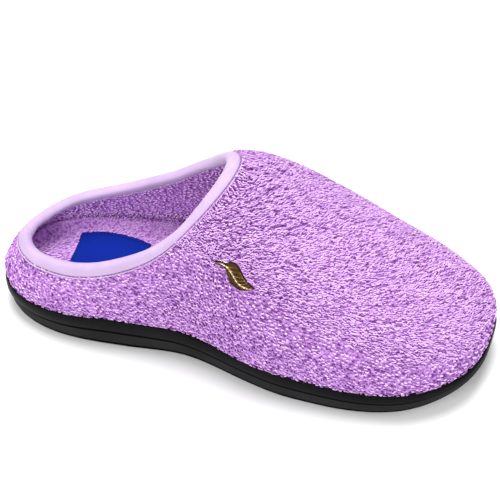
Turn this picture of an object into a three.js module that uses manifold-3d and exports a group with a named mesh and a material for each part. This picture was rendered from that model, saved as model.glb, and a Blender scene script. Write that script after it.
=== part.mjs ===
// A scuff slipper for the left foot, closed at the toe and with a low wall round the heel.
// It is an assembly of separate pieces: moulded outsole, terry upper, padded footbed, collar
// binding, heel label and a small metal ornament.
// Millimetres. +X points to the toe, +Y to the outer (lateral) side, +Z up. The floor is z = 0.
import * as THREE from "three";
import { mergeVertices } from "three/addons/utils/BufferGeometryUtils.js";
import Module from "manifold-3d";

const wasm = await Module();
wasm.setup();

// Driving sizes of the sole
const soleLength = 268;
const ballWidth = 102;
const toeSpring = 15;
const heelSpring = 2;
const archLift = 1.5;
const rimWall = 3;
const soleSide = 20;
const soleFloor = 11;

// Powers of the curves that round the heel and the toe in plan
const heelRound = 2.5;
const toeRound = 2.9;

// Driving sizes of the upper
const wall = 3;
const bulgeRise = 6;
const collarBackInset = 14.5;
const collarLength = 128;
const collarHalfWidth = 31;
const collarShift = 2.8;
const throatHeight = 107;

// Driving sizes of the fitted pieces
const clearance = 0.3;
const footbedThickness = 6.5;
const footbedDish = 9;
const footbedEdgeRound = 2.5;
const tapeThickness = 1.1;
const tapeLeg = 5;
const tapeInnerShare = 0.4;
const foldShare = 0.8;
const labelThickness = 0.7;
const labelLength = 42;
const labelWidth = 40;
const labelBow = 3.1;
const labelBack = 35.5;
const ornamentLength = 23;
const ornamentWidth = 10;
const ornamentThickness = 2;
const ornamentBend = 2;
const ornamentFromHeel = 154;
const ornamentHeight = 75;
const ornamentTilt = -27;
const grooveWidth = 2;
const grooveDepth = 1.3;

// How finely the pieces are divided
const around = 72;
const upMeridian = 9;
const crowding = 1.35;

// Half widths of the sole from its straight axis, as shares of the ball width.
const plan = [
  { at: 0.0, medial: 0.39, lateral: 0.39 },
  { at: 0.12, medial: 0.393, lateral: 0.39 },
  { at: 0.4, medial: 0.35, lateral: 0.42 },
  { at: 0.66, medial: 0.477, lateral: 0.523 },
  { at: 0.86, medial: 0.5, lateral: 0.41 },
  { at: 1.0, medial: 0.45, lateral: 0.34 },
];

// Along the length: height of the sole's side, thickness of its floor, thickness of the
// footbed's middle and rise of its edge, each as a share of its own named size.
const heights = [
  { at: 0, side: 0.86, floor: 0.96, footbed: 1, dish: 1 },
  { at: 0.18, side: 0.99, floor: 1, footbed: 1, dish: 1 },
  { at: 0.28, side: 1.1, floor: 1.05, footbed: 1.1, dish: 0.82 },
  { at: 0.42, side: 0.98, floor: 1.13, footbed: 1.23, dish: 0.55 },
  { at: 0.7, side: 0.88, floor: 0.88, footbed: 1.08, dish: 0.22 },
  { at: 0.86, side: 0.66, floor: 0.74, footbed: 0.9, dish: 0.16 },
  { at: 1, side: 0.35, floor: 0.23, footbed: 0.69, dish: 0.11 },
];

// The side of the sole, from the tread's edge up over the rim. inset is a share of the rim's
// wall, in from the widest line. up is a share of the side's height.
const sideSteps = [
  { inset: 1.4, up: 0.0 },
  { inset: 0.67, up: 0.04 },
  { inset: 0.37, up: 0.1 },
  { inset: 0.37, up: 0.15 },
  { inset: 0.67, up: 0.18 },
  { inset: 0.23, up: 0.21 },
  { inset: 0.17, up: 0.58 },
  { inset: 0.5, up: 0.62 },
  { inset: 0.0, up: 0.66 },
  { inset: 0.13, up: 0.88 },
  { inset: 0.47, up: 1.0 },
];

// The collar's edge from its back (0) to the throat (1): half width as a share of the collar's
// half width before it is rounded, height as a share of the throat height.
const collarShape = [
  { at: 0, half: 0.88, height: 0.354 },
  { at: 0.15, half: 1.0, height: 0.407 },
  { at: 0.35, half: 1.0, height: 0.461 },
  { at: 0.6, half: 1.03, height: 0.587 },
  { at: 0.8, half: 1.13, height: 0.752 },
  { at: 1, half: 1.1, height: 1 },
];

// Which collar point each ring point of the outline leads to. Both are shares of a full turn.
const collarMap = [
  { at: 0.0, turn: 0.0 },
  { at: 0.0625, turn: 0.072 },
  { at: 0.125, turn: 0.148 },
  { at: 0.1875, turn: 0.255 },
  { at: 0.25, turn: 0.392 },
  { at: 0.3125, turn: 0.447 },
  { at: 0.375, turn: 0.473 },
  { at: 0.4375, turn: 0.488 },
  { at: 0.5, turn: 0.5 },
];

// Shape of the upper's meridians around the shoe, from the heel (0) to the toe (0.5).
// inset: of the bulge from the sole's edge, as a share of the rim's wall. The rest are shares
// of the run to the collar and of the height up to it. rise: upward handle at the bulge.
// across and lift: where the shoulder lies. reach and drop: handle at the collar.
const meridians = [
  { at: 0.0, inset: 1.07, rise: 0.25, across: 0.5, lift: 0.6, reach: 0.25, drop: 0.25 },
  { at: 0.125, inset: 0.73, rise: 0.25, across: 0.45, lift: 0.6, reach: 0.25, drop: 0.25 },
  { at: 0.1875, inset: 0.4, rise: 0.35, across: 0.4, lift: 0.65, reach: 0.25, drop: 0.2 },
  { at: 0.25, inset: 0.3, rise: 0.45, across: 0.3, lift: 0.85, reach: 0.3, drop: 0.08 },
  { at: 0.3125, inset: 0.3, rise: 0.45, across: 0.4, lift: 0.72, reach: 0.2, drop: 0.05 },
  { at: 0.375, inset: 0.3, rise: 0.42, across: 0.46, lift: 0.51, reach: 0.14, drop: 0.02 },
  { at: 0.4375, inset: 0.3, rise: 0.37, across: 0.52, lift: 0.39, reach: 0.12, drop: 0.0 },
  { at: 0.5, inset: 0.3, rise: 0.35, across: 0.54, lift: 0.36, reach: 0.12, drop: 0.0 },
];

// Grooves of the tread. Loops are open-ended arches: apex and mouth are shares of the
// length, widest and atMouth shares of the half width.
const loops = [
  { apex: 0.07, mouth: 0.42, widest: 0.66, atMouth: 0.3 },
  { apex: 0.13, mouth: 0.37, widest: 0.38, atMouth: 0.18 },
  { apex: 0.94, mouth: 0.56, widest: 0.6, atMouth: 0.52 },
  { apex: 0.885, mouth: 0.6, widest: 0.36, atMouth: 0.3 },
];
// Bars cross the sole from edge to edge, bent at the middle.
const bars = [
  { edge: 0.135, middle: 0.155 },
  { edge: 0.215, middle: 0.235 },
  { edge: 0.295, middle: 0.315 },
  { edge: 0.385, middle: 0.4 },
  { edge: 0.625, middle: 0.565 },
  { edge: 0.7, middle: 0.64 },
  { edge: 0.785, middle: 0.725 },
];
// Spokes run out from the loops at the heel and the toe.
const spokes = [
  { fromAt: 0.14, fromSide: 0.3, toAt: 0.045, toSide: 0.72 },
  { fromAt: 0.14, fromSide: -0.3, toAt: 0.045, toSide: -0.72 },
  { fromAt: 0.86, fromSide: 0.3, toAt: 0.945, toSide: 0.72 },
  { fromAt: 0.86, fromSide: -0.3, toAt: 0.945, toSide: -0.72 },
  { fromAt: 0.88, fromSide: 0.0, toAt: 0.985, toSide: 0.0 },
];
const barReach = 0.84;

// A smooth function through a table's rows, with no overshoot between them.
function through(rows, column) {
  const x = rows.map((row) => row.at);
  const y = rows.map((row) => row[column]);
  const last = rows.length - 1;
  const secant = x.slice(1).map((_, i) => (y[i + 1] - y[i]) / (x[i + 1] - x[i]));
  const slope = y.map((_, i) => {
    if (i === 0) return secant[0];
    if (i === last) return secant[last - 1];
    const a = secant[i - 1];
    const b = secant[i];
    return a * b <= 0 ? 0 : (2 * a * b) / (a + b);
  });
  return (at) => {
    const t = Math.min(Math.max(at, x[0]), x[last]);
    let i = 0;
    while (i < last - 1 && t > x[i + 1]) i += 1;
    const step = x[i + 1] - x[i];
    const u = (t - x[i]) / step;
    const v = 1 - u;
    return (
      y[i] * v * v * (1 + 2 * u) +
      y[i + 1] * u * u * (1 + 2 * v) +
      step * u * v * (slope[i] * v - slope[i + 1] * u)
    );
  };
}

const medialShare = through(plan, "medial");
const lateralShare = through(plan, "lateral");
const halfLength = soleLength / 2;
const shareAt = (x) => x / soleLength + 0.5;
const xAt = (share) => (share - 0.5) * soleLength;

// How much of the full width is left near the rounded heel and toe.
function endRound(x) {
  const round = x < 0 ? heelRound : toeRound;
  const reach = Math.min(Math.abs(x) / halfLength, 1);
  return (1 - reach ** (1.6 * round)) ** (1 / round);
}
const rawMedial = (x) => -medialShare(shareAt(x)) * ballWidth * endRound(x);
const rawLateral = (x) => lateralShare(shareAt(x)) * ballWidth * endRound(x);

// The outline is shifted sideways so that the footprint's middle is at y = 0.
const ringX = Array.from(
  { length: around / 2 + 1 },
  (_, i) => -halfLength * Math.cos((2 * Math.PI * i) / around),
);
const sideShift =
  (Math.max(...ringX.map(rawLateral)) + Math.min(...ringX.map(rawMedial))) / 2;
const medialY = (x) => rawMedial(x) - sideShift;
const lateralY = (x) => rawLateral(x) - sideShift;
const axisY = -sideShift;

// The ring of outline points. It starts behind the heel and runs along the medial side.
const ring = Array.from({ length: around }, (_, i) => {
  const step = Math.min(i, around - i);
  const half = step / around;
  const x = ringX[step];
  const medial = i < around / 2;
  const end = half === 0 || half === 0.5;
  return { half, medial, x, y: end ? axisY : medial ? medialY(x) : lateralY(x) };
});
ring.forEach((point, i) => {
  const before = ring[(i + around - 1) % around];
  const after = ring[(i + 1) % around];
  const along = new THREE.Vector2(after.x - before.x, after.y - before.y).normalize();
  point.outX = along.y;
  point.outY = -along.x;
});

// A point of the outline moved in by an inset, at a height.
const insetPoint = (point, inset, z) =>
  new THREE.Vector3(point.x - point.outX * inset, point.y - point.outY * inset, z);

// Heights of the sole along its length
const square = (x) => x * x;
const sideShare = through(heights, "side");
const floorShare = through(heights, "floor");
// Where the springs and the lift begin and end, as shares of the length
const springFrom = 0.71;
const heelSpringFrom = 0.1;
const archBack = 0.3;
const archFront = 0.56;
function bottomZ(x) {
  const at = shareAt(x);
  const toe = Math.max(0, (at - springFrom) / (1 - springFrom));
  const heel = Math.max(0, (heelSpringFrom - at) / heelSpringFrom);
  const arch = Math.max(0, Math.min(1, (at - archBack) / (archFront - archBack)));
  return (
    toeSpring * square(toe) +
    heelSpring * square(heel) +
    archLift * square(Math.sin(Math.PI * arch))
  );
}
const rimZ = (x) => bottomZ(x) + soleSide * sideShare(shareAt(x));
const floorZ = (x) => bottomZ(x) + soleFloor * floorShare(shareAt(x));

// Joins rings of equal length into one closed surface. Rings that shrink onto the middle
// line close the surface there, and otherwise the last ring joins the first. The flag
// crossed splits each four-sided field along its other diagonal.
function loft(rings, closed, crossed = false) {
  const positions = [];
  rings.forEach((points) => points.forEach((p) => positions.push(p.x, p.y, p.z)));
  const indices = [];
  const count = rings[0].length;
  const bands = closed ? rings.length : rings.length - 1;
  for (let j = 0; j < bands; j += 1) {
    const low = j * count;
    const high = ((j + 1) % rings.length) * count;
    for (let i = 0; i < count; i += 1) {
      const next = (i + 1) % count;
      indices.push(low + i, crossed ? low + next : high + next, high + i);
      indices.push(crossed ? high + i : low + i, low + next, high + next);
    }
  }
  const geometry = new THREE.BufferGeometry();
  geometry.setAttribute("position", new THREE.Float32BufferAttribute(positions, 3));
  geometry.setIndex(indices);
  return geometry;
}

// A closed geometry as a solid, with shared points merged and flat triangles dropped.
function solidOf(geometry) {
  const bare = geometry.clone();
  bare.deleteAttribute("normal");
  bare.deleteAttribute("uv");
  const merged = mergeVertices(bare, 1e-3);
  const kept = [];
  const index = merged.index.array;
  for (let i = 0; i < index.length; i += 3) {
    const [a, b, c] = [index[i], index[i + 1], index[i + 2]];
    if (a !== b && b !== c && a !== c) kept.push(a, b, c);
  }
  return new wasm.Manifold(
    new wasm.Mesh({
      numProp: 3,
      vertProperties: new Float32Array(merged.attributes.position.array),
      triVerts: new Uint32Array(kept),
    }),
  );
}

function geometryOf(solid) {
  const mesh = solid.getMesh();
  const positions = new Float32Array(mesh.numVert * 3);
  for (let i = 0; i < mesh.numVert; i += 1) {
    const from = i * mesh.numProp;
    positions.set(mesh.vertProperties.subarray(from, from + 3), i * 3);
  }
  const geometry = new THREE.BufferGeometry();
  geometry.setAttribute("position", new THREE.BufferAttribute(positions, 3));
  geometry.setIndex(new THREE.BufferAttribute(new Uint32Array(mesh.triVerts), 1));
  geometry.computeVertexNormals();
  return geometry;
}

// Rings that close a surface over the middle line: an edge ring is drawn in towards it.
const spineShare = 0.82;
function coverRings(edge, drawn, height) {
  return drawn.map((share) =>
    edge.map((from, i) => {
      const spineX = ring[i].x * spineShare;
      const spineY = (medialY(spineX) + lateralY(spineX)) / 2;
      const x = spineX + (from.x - spineX) * share;
      const y = spineY + (from.y - spineY) * share;
      return new THREE.Vector3(x, y, height(x, y));
    }),
  );
}
const insetRing = (inset, height) =>
  ring.map((point) => insetPoint(point, inset, height(point.x)));

// Outsole
function outsoleBody() {
  const sideRings = sideSteps.map(({ inset, up }) =>
    ring.map((point) => {
      const low = bottomZ(insetPoint(point, inset * rimWall, 0).x);
      return insetPoint(point, inset * rimWall, low + (rimZ(point.x) - low) * up);
    }),
  );
  const floorRing = insetRing(rimWall, floorZ);
  return solidOf(
    loft(
      [
        ...coverRings(sideRings[0], [0, 0.6], bottomZ),
        ...sideRings,
        insetRing(rimWall, rimZ),
        floorRing,
        ...coverRings(floorRing, [0.6, 0], floorZ),
      ],
      false,
    ),
  );
}

// A place on the tread, from a share of the length and a share of the half width.
function treadPoint(at, side) {
  const x = xAt(at);
  const middle = (medialY(x) + lateralY(x)) / 2;
  const half = (lateralY(x) - medialY(x)) / 2;
  return new THREE.Vector2(x, middle + side * half);
}

function loopPath({ apex, mouth, widest, atMouth }) {
  const steps = 13;
  return Array.from({ length: steps + 1 }, (_, i) => {
    const angle = -Math.PI / 2 + (Math.PI * i) / steps;
    const along = Math.max(0, Math.cos(angle)) ** 0.8;
    const width = widest + (atMouth - widest) * square(1 - along);
    const side = Math.sign(angle) * Math.abs(Math.sin(angle)) ** 0.8 * width;
    return treadPoint(mouth + (apex - mouth) * along, side);
  });
}

function barPath({ edge, middle }) {
  const steps = 4;
  return Array.from({ length: steps + 1 }, (_, i) => {
    const side = barReach * ((2 * i) / steps - 1);
    return treadPoint(middle + (edge - middle) * square(side / barReach), side);
  });
}

function spokePath({ fromAt, fromSide, toAt, toSide }) {
  return [0, 0.5, 1].map((share) =>
    treadPoint(fromAt + (toAt - fromAt) * share, fromSide + (toSide - fromSide) * share),
  );
}

// A channel cutter that follows the bottom along a path, tapered at its ends if asked.
function grooveCutter(path, tapered) {
  const below = 2;
  const last = path.length - 1;
  const rings = path.map((point, i) => {
    const before = path[Math.max(i - 1, 0)];
    const after = path[Math.min(i + 1, last)];
    const along = after.clone().sub(before).normalize();
    const fade = tapered && (i === 0 || i === last) ? 0.35 : 1;
    const half = (grooveWidth / 2) * fade;
    const z = bottomZ(point.x);
    const corner = (side, height) =>
      new THREE.Vector3(point.x - along.y * side, point.y + along.x * side, height);
    return [
      corner(-half, z - below),
      corner(half, z - below),
      corner(half, z + grooveDepth * fade),
      corner(-half, z + grooveDepth * fade),
    ];
  });
  const centre = (corners) => {
    const middle = corners.reduce((sum, p) => sum.add(p), new THREE.Vector3());
    return corners.map(() => middle.clone().divideScalar(corners.length));
  };
  return solidOf(loft([centre(rings[0]), ...rings, centre(rings[last])], false));
}

function outsole() {
  const cutters = [
    ...loops.map((loop) => grooveCutter(loopPath(loop), false)),
    ...bars.map((bar) => grooveCutter(barPath(bar), true)),
    ...spokes.map((spoke) => grooveCutter(spokePath(spoke), true)),
  ];
  return geometryOf(outsoleBody().subtract(wasm.Manifold.union(cutters)));
}

// Collar edge of the upper, from a share of a full turn that starts behind the heel.
const collarBackX = -halfLength + collarBackInset;
const collarHalf = through(collarShape, "half");
const collarHeight = through(collarShape, "height");
function collarPoint(turn) {
  const at = (1 - Math.cos(2 * Math.PI * turn)) / 2;
  const side = -Math.sin(2 * Math.PI * turn) * collarHalf(at) * collarHalfWidth;
  return new THREE.Vector3(
    collarBackX + at * collarLength,
    axisY + collarShift + side,
    throatHeight * collarHeight(at),
  );
}

// A Bezier curve of any number of handles
class Meridian extends THREE.Curve {
  constructor(handles) {
    super();
    this.handles = handles;
  }

  getPoint(t) {
    let points = this.handles.map((handle) => handle.clone());
    while (points.length > 1) {
      points = points.slice(1).map((next, i) => points[i].clone().lerp(next, t));
    }
    return points[0];
  }
}

// The upper's outer surface: for each ring point a curve from the bulge above the rim
// over a shoulder to the collar, upright where it starts.
const collarTurn = through(collarMap, "turn");
const bulgeShare = through(meridians, "inset");
const bulgeInset = (half) => bulgeShare(half) * rimWall;
const shares = Object.fromEntries(
  ["rise", "across", "lift", "reach", "drop"].map((name) => [name, through(meridians, name)]),
);
function meridianAt(half, start, end) {
  const handle = (run, up) => {
    const place = start.clone().lerp(end, run);
    place.z = start.z + (end.z - start.z) * up;
    return place;
  };
  return new Meridian([
    start,
    handle(0, shares.rise(half)),
    handle(shares.across(half), shares.lift(half)),
    handle(1 - shares.reach(half), 1 - shares.drop(half)),
    end,
  ]);
}
const meridianCurves = ring.map((point) => {
  const turn = collarTurn(point.half);
  const end = collarPoint(point.medial ? turn : 1 - turn);
  const start = insetPoint(point, bulgeInset(point.half), rimZ(point.x) + bulgeRise);
  return meridianAt(point.half, start, end);
});

// The skirt of the upper stands in the outsole's recess, and swells out over the rim.
const skirtInset = rimWall + clearance;
function upperOuterRings() {
  const rings = [
    ring.map((point) => insetPoint(point, skirtInset, floorZ(point.x) + clearance)),
    ring.map((point) => insetPoint(point, skirtInset, rimZ(point.x) + clearance)),
    ring.map((point) => {
      const inset = (skirtInset + 2 * bulgeInset(point.half)) / 3;
      return insetPoint(point, inset, rimZ(point.x) + bulgeRise / 3);
    }),
  ];
  const stations = meridianCurves.map(stationsOf);
  for (let j = 0; j < stations[0].length; j += 1) {
    rings.push(stations.map((points) => points[j]));
  }
  return rings;
}

// Points along a meridian: closer together near the bulge, then two steps under the tape.
function stationsOf(curve) {
  const length = curve.getLength();
  const tapeFrom = 1 - tapeLeg / length;
  const shares = Array.from(
    { length: upMeridian + 1 },
    (_, j) => tapeFrom * (j / upMeridian) ** crowding,
  );
  shares.push((1 + tapeFrom) / 2, 1);
  return shares.map((share) => curve.getPointAt(share));
}

// Outward normals of a grid of rings
function normalsOf(rings) {
  return rings.map((points, j) =>
    points.map((_, i) => {
      const up = rings[Math.min(j + 1, rings.length - 1)][i]
        .clone()
        .sub(rings[Math.max(j - 1, 0)][i]);
      const along = points[(i + 1) % around].clone().sub(points[(i + around - 1) % around]);
      return along.cross(up).normalize();
    }),
  );
}

function offsetRing(points, normals, distance) {
  return points.map((p, i) => p.clone().addScaledVector(normals[i], distance));
}

const outerRings = upperOuterRings();
const outerNormals = normalsOf(outerRings);
outerNormals[0] = ring.map((point) => new THREE.Vector3(point.outX, point.outY, 0));
outerNormals[1] = outerNormals[0];

function upper() {
  const inner = outerRings.map((points, j) => offsetRing(points, outerNormals[j], -wall));
  const near = inner.length - 3;
  const keptInner = inner.filter((_, j) => j < 3 || j % 2 === 0 || j >= near);
  return geometryOf(solidOf(loft([...outerRings, ...keptInner.reverse()], true)));
}

// Footbed: thicker under the waist and dished, so that its edge stands above its middle.
// Its side follows the inside of the upper.
const footbedInset = skirtInset + wall + clearance;
const footbedShare = through(heights, "footbed");
const dishShare = through(heights, "dish");
function footbedZ(x, y) {
  const reach = (lateralY(x) - medialY(x)) / 2 - footbedInset;
  const aside = (y - (medialY(x) + lateralY(x)) / 2) / Math.max(reach, 1);
  const dish = footbedDish * dishShare(shareAt(x)) * Math.min(Math.abs(aside) ** 3, 1);
  return floorZ(x) + clearance + footbedThickness * footbedShare(shareAt(x)) + dish;
}
const liningRings = outerRings
  .slice(0, 6)
  .map((points, j) => offsetRing(points, outerNormals[j], -wall - clearance));
function liningPoint(i, z) {
  const line = liningRings.map((points) => points[i]);
  const j = Math.max(1, line.findIndex((p, k) => k > 0 && p.z >= z));
  const share = (z - line[j - 1].z) / (line[j].z - line[j - 1].z);
  return line[j - 1].clone().lerp(line[j], Math.min(Math.max(share, 0), 1));
}
function footbed() {
  const edgeHeights = liningRings[2].map((p) => footbedZ(p.x, p.y));
  const sideRing = (j) =>
    ring.map((_, i) =>
      liningPoint(i, Math.min(liningRings[j][i].z, edgeHeights[i] - footbedEdgeRound)),
    );
  const roundedRing = (inset, drop) =>
    ring.map((point, i) => {
      const place = liningPoint(i, edgeHeights[i] - drop);
      place.x -= point.outX * inset;
      place.y -= point.outY * inset;
      place.z = edgeHeights[i] - drop;
      return place;
    });
  const top = roundedRing(footbedEdgeRound, 0);
  const base = sideRing(0);
  return geometryOf(
    solidOf(
      loft(
        [
          ...coverRings(base, [0, 0.6], (x) => floorZ(x) + clearance),
          base,
          sideRing(1),
          sideRing(2),
          sideRing(3),
          roundedRing(0, footbedEdgeRound),
          roundedRing(0.3 * footbedEdgeRound, 0.3 * footbedEdgeRound),
          top,
          ...coverRings(top, [0.8, 0.5, 0], footbedZ),
        ],
        false,
      ),
    ),
  );
}

// Collar binding: a folded tape that straddles the upper's edge. Its rings follow the last
// three rings of the upper, so the gap between them is the clearance all along.
function binding() {
  const [low, middle, top] = outerRings.slice(-3);
  const [lowN, middleN, topN] = outerNormals.slice(-3);
  const ups = top.map((p, i) => p.clone().sub(middle[i]).normalize());
  const outer = clearance + tapeThickness;
  const innerLow = middle.map((p, i) => p.clone().lerp(low[i], tapeInnerShare));
  const innerLowN = middleN.map((n, i) => n.clone().lerp(lowN[i], tapeInnerShare));
  const fold = (angle) =>
    top.map((p, i) => {
      const radius = wall / 2 + outer;
      return p
        .clone()
        .addScaledVector(topN[i], -wall / 2 + radius * Math.cos(angle))
        .addScaledVector(ups[i], radius * Math.sin(angle) * foldShare);
    });
  const channelTop = (distance) =>
    offsetRing(top, topN, distance).map((p, i) => p.addScaledVector(ups[i], clearance));
  return geometryOf(
    solidOf(
      loft(
        [
          offsetRing(middle, middleN, clearance),
          offsetRing(low, lowN, clearance),
          offsetRing(low, lowN, outer),
          offsetRing(middle, middleN, outer),
          fold(0),
          fold(Math.PI / 3),
          fold((2 * Math.PI) / 3),
          fold(Math.PI),
          offsetRing(middle, middleN, -wall - outer),
          offsetRing(innerLow, innerLowN, -wall - outer),
          offsetRing(innerLow, innerLowN, -wall - clearance),
          offsetRing(middle, middleN, -wall - clearance),
          channelTop(-wall - clearance),
          channelTop(clearance),
        ],
        true,
        true,
      ),
    ),
  );
}

const materials = {
  rubber: new THREE.MeshStandardMaterial({ color: 0x17181a, roughness: 0.55, metalness: 0 }),
  terry: new THREE.MeshStandardMaterial({ color: 0xc383e0, roughness: 0.95, metalness: 0 }),
  satin: new THREE.MeshStandardMaterial({ color: 0xdcbff0, roughness: 0.6, metalness: 0 }),
  blue: new THREE.MeshStandardMaterial({ color: 0x0c2a9c, roughness: 0.7, metalness: 0 }),
  brass: new THREE.MeshStandardMaterial({ color: 0x6a5230, roughness: 0.35, metalness: 0.9 }),
};

const slipper = new THREE.Group();
function add(name, geometry, material) {
  const mesh = new THREE.Mesh(geometry, material);
  mesh.name = name;
  slipper.add(mesh);
  return mesh;
}

add("outsole", outsole(), materials.rubber);
const upperMesh = add("upper", upper(), materials.terry);
const footbedMesh = add("footbed", footbed(), materials.terry);
add("collar_binding", binding(), materials.satin);

// Where a line of sight meets a piece that is already made
function meet(mesh, from, direction) {
  const hits = new THREE.Raycaster(from, direction).intersectObject(mesh);
  if (hits.length === 0) throw new Error(`nothing of ${mesh.name} lies there`);
  return hits[0];
}

// Label on the footbed, a thin woven patch whose long sides bow outwards
function label() {
  const steps = 6;
  const middleX = -halfLength + labelBack + labelLength / 2;
  const corners = [
    [-0.5, -0.5],
    [0.5, -0.5],
    [0.5, 0.5],
    [-0.5, 0.5],
  ];
  const edge = corners.flatMap(([a, b], k) => {
    const [c, d] = corners[(k + 1) % corners.length];
    return Array.from({ length: steps }, (_, i) => [
      a + ((c - a) * i) / steps,
      b + ((d - b) * i) / steps,
    ]);
  });
  const down = new THREE.Vector3(0, 0, -1);
  const ringAt = (share, lift) =>
    edge.map(([a, b]) => {
      const x = middleX + labelLength * a * share;
      const bow = 2 * labelBow * (1 - square(2 * a));
      const y = axisY + (labelWidth + bow) * b * share;
      const place = meet(footbedMesh, new THREE.Vector3(x, y, throatHeight), down).point;
      place.z += clearance + lift;
      return place;
    });
  const shares = [0, 0.35, 0.7, 1];
  return geometryOf(
    solidOf(
      loft(
        [
          ...shares.map((share) => ringAt(share, 0)),
          ...shares.reverse().map((share) => ringAt(share, labelThickness)),
        ],
        false,
      ),
    ),
  );
}

// Ornament on the medial side of the vamp: a small leaf with a stem, a rib along its middle
// and a slight bend. half is a share of its half width.
const leaf = [
  { at: 0, half: 0.1 },
  { at: 0.2, half: 0.16 },
  { at: 0.3, half: 0.6 },
  { at: 0.5, half: 1 },
  { at: 0.72, half: 0.8 },
  { at: 0.9, half: 0.36 },
  { at: 1, half: 0.06 },
];
function ornament() {
  const steps = 14;
  const side = new THREE.Vector3(-halfLength + ornamentFromHeel, -ballWidth, ornamentHeight);
  const seat = meet(upperMesh, side, new THREE.Vector3(0, 1, 0));
  const out = seat.face.normal.clone();
  const toToe = new THREE.Vector3(1, 0, 0).projectOnPlane(out).normalize();
  const along = toToe.applyAxisAngle(out, THREE.MathUtils.degToRad(ornamentTilt));
  const across = out.clone().cross(along);
  const inwards = out.clone().negate();
  const half = through(leaf, "half");
  const place = (share, aside, lift) => {
    const bend = ornamentBend * Math.sin(2 * Math.PI * share);
    const from = seat.point
      .clone()
      .addScaledVector(along, (share - 0.5) * ornamentLength)
      .addScaledVector(across, aside + bend)
      .addScaledVector(out, ornamentLength);
    return meet(upperMesh, from, inwards).point.addScaledVector(out, clearance + lift);
  };
  const rings = Array.from({ length: steps + 1 }, (_, i) => {
    const share = i / steps;
    const reach = (half(share) * ornamentWidth) / 2;
    return [
      place(share, -reach, 0),
      place(share, 0, 0),
      place(share, reach, 0),
      place(share, reach, 0.4 * ornamentThickness),
      place(share, 0.2 * reach, 0.75 * ornamentThickness),
      place(share, 0, ornamentThickness),
      place(share, -0.2 * reach, 0.75 * ornamentThickness),
      place(share, -reach, 0.4 * ornamentThickness),
    ];
  });
  const capAt = (share) => rings[0].map(() => place(share, 0, 0.3 * ornamentThickness));
  return geometryOf(solidOf(loft([capAt(0), ...rings, capAt(1)], false)));
}

add("heel_label", label(), materials.blue);
add("ornament", ornament(), materials.brass);

export default slipper;
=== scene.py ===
"""Looks of a terry scuff slipper for the left foot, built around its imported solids.

Lengths in the tables and in the shape functions are millimetres. Blender's own are metres.
"""

import math

import bpy
import numpy as np
from mathutils import Matrix, Vector, noise


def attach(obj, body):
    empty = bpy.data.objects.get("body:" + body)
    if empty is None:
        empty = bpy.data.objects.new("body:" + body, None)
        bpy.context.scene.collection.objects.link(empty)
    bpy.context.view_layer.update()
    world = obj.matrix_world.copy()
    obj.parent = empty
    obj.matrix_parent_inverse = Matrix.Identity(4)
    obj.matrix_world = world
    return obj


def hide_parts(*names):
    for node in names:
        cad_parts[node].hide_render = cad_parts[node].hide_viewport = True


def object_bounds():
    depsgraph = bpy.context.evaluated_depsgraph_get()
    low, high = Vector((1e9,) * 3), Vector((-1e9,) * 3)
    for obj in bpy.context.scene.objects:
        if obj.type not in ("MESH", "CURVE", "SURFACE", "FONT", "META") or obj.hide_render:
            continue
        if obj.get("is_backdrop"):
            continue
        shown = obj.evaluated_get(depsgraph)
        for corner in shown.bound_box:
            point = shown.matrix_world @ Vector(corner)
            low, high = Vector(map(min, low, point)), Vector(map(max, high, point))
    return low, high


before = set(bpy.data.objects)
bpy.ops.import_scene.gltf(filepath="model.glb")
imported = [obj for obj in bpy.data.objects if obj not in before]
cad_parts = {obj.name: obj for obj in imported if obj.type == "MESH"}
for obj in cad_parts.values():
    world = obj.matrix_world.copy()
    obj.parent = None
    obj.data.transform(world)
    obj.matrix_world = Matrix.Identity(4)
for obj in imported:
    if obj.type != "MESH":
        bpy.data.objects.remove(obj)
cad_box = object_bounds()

bl_info = {
    "name": "Terry Scuff Slipper",
    "version": (1, 0, 0),
    "blender": (4, 5, 0),
    "location": "3D View > Sidebar > Slipper",
    "description": "Builds the cloth, pile, rubber and trim of a terry scuff slipper",
    "category": "Object",
}

MM = 0.001

# Sizes that the solids share
SOLE_LENGTH = 268.0
BALL_WIDTH = 102.0
TOE_SPRING = 15.0
HEEL_SPRING = 2.0
ARCH_LIFT = 1.5
RIM_WALL = 3.0
SOLE_SIDE = 20.0
SOLE_FLOOR = 11.0
HEEL_ROUND = 2.5
TOE_ROUND = 2.9
WALL = 3.0
BULGE_RISE = 6.0
COLLAR_BACK_INSET = 14.5
COLLAR_LENGTH = 128.0
COLLAR_HALF_WIDTH = 31.0
COLLAR_SHIFT = 2.8
THROAT_HEIGHT = 107.0
CLEARANCE = 0.3
FOOTBED_THICKNESS = 6.5
FOOTBED_DISH = 9.0
GROOVE_WIDTH = 2.0
GROOVE_DEPTH = 1.3
LABEL_LENGTH = 42.0
LABEL_WIDTH = 40.0
LABEL_BOW = 3.1
LABEL_BACK = 35.5
# The length of the sole's spine as a share of the sole's, which keeps it off the round ends.
SPINE_SHARE = 0.82


def table(names, *rows):
    """A table with named columns, one row for each section."""
    return dict(zip(names.split(), np.array(rows, float).T))


# Half widths of the sole from its straight axis, as shares of the ball width.
PLAN = table(
    "at medial lateral",
    (0.0, 0.39, 0.39),
    (0.12, 0.393, 0.39),
    (0.4, 0.35, 0.42),
    (0.66, 0.477, 0.523),
    (0.86, 0.5, 0.41),
    (1.0, 0.45, 0.34),
)
# Along the length: the sole's side and floor, the footbed's middle and the rise of its edge.
HEIGHTS = table(
    "at side floor footbed dish",
    (0.0, 0.86, 0.96, 1.0, 1.0),
    (0.18, 0.99, 1.0, 1.0, 1.0),
    (0.28, 1.1, 1.05, 1.1, 0.82),
    (0.42, 0.98, 1.13, 1.23, 0.55),
    (0.7, 0.88, 0.88, 1.08, 0.22),
    (0.86, 0.66, 0.74, 0.9, 0.16),
    (1.0, 0.35, 0.23, 0.69, 0.11),
)
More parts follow.
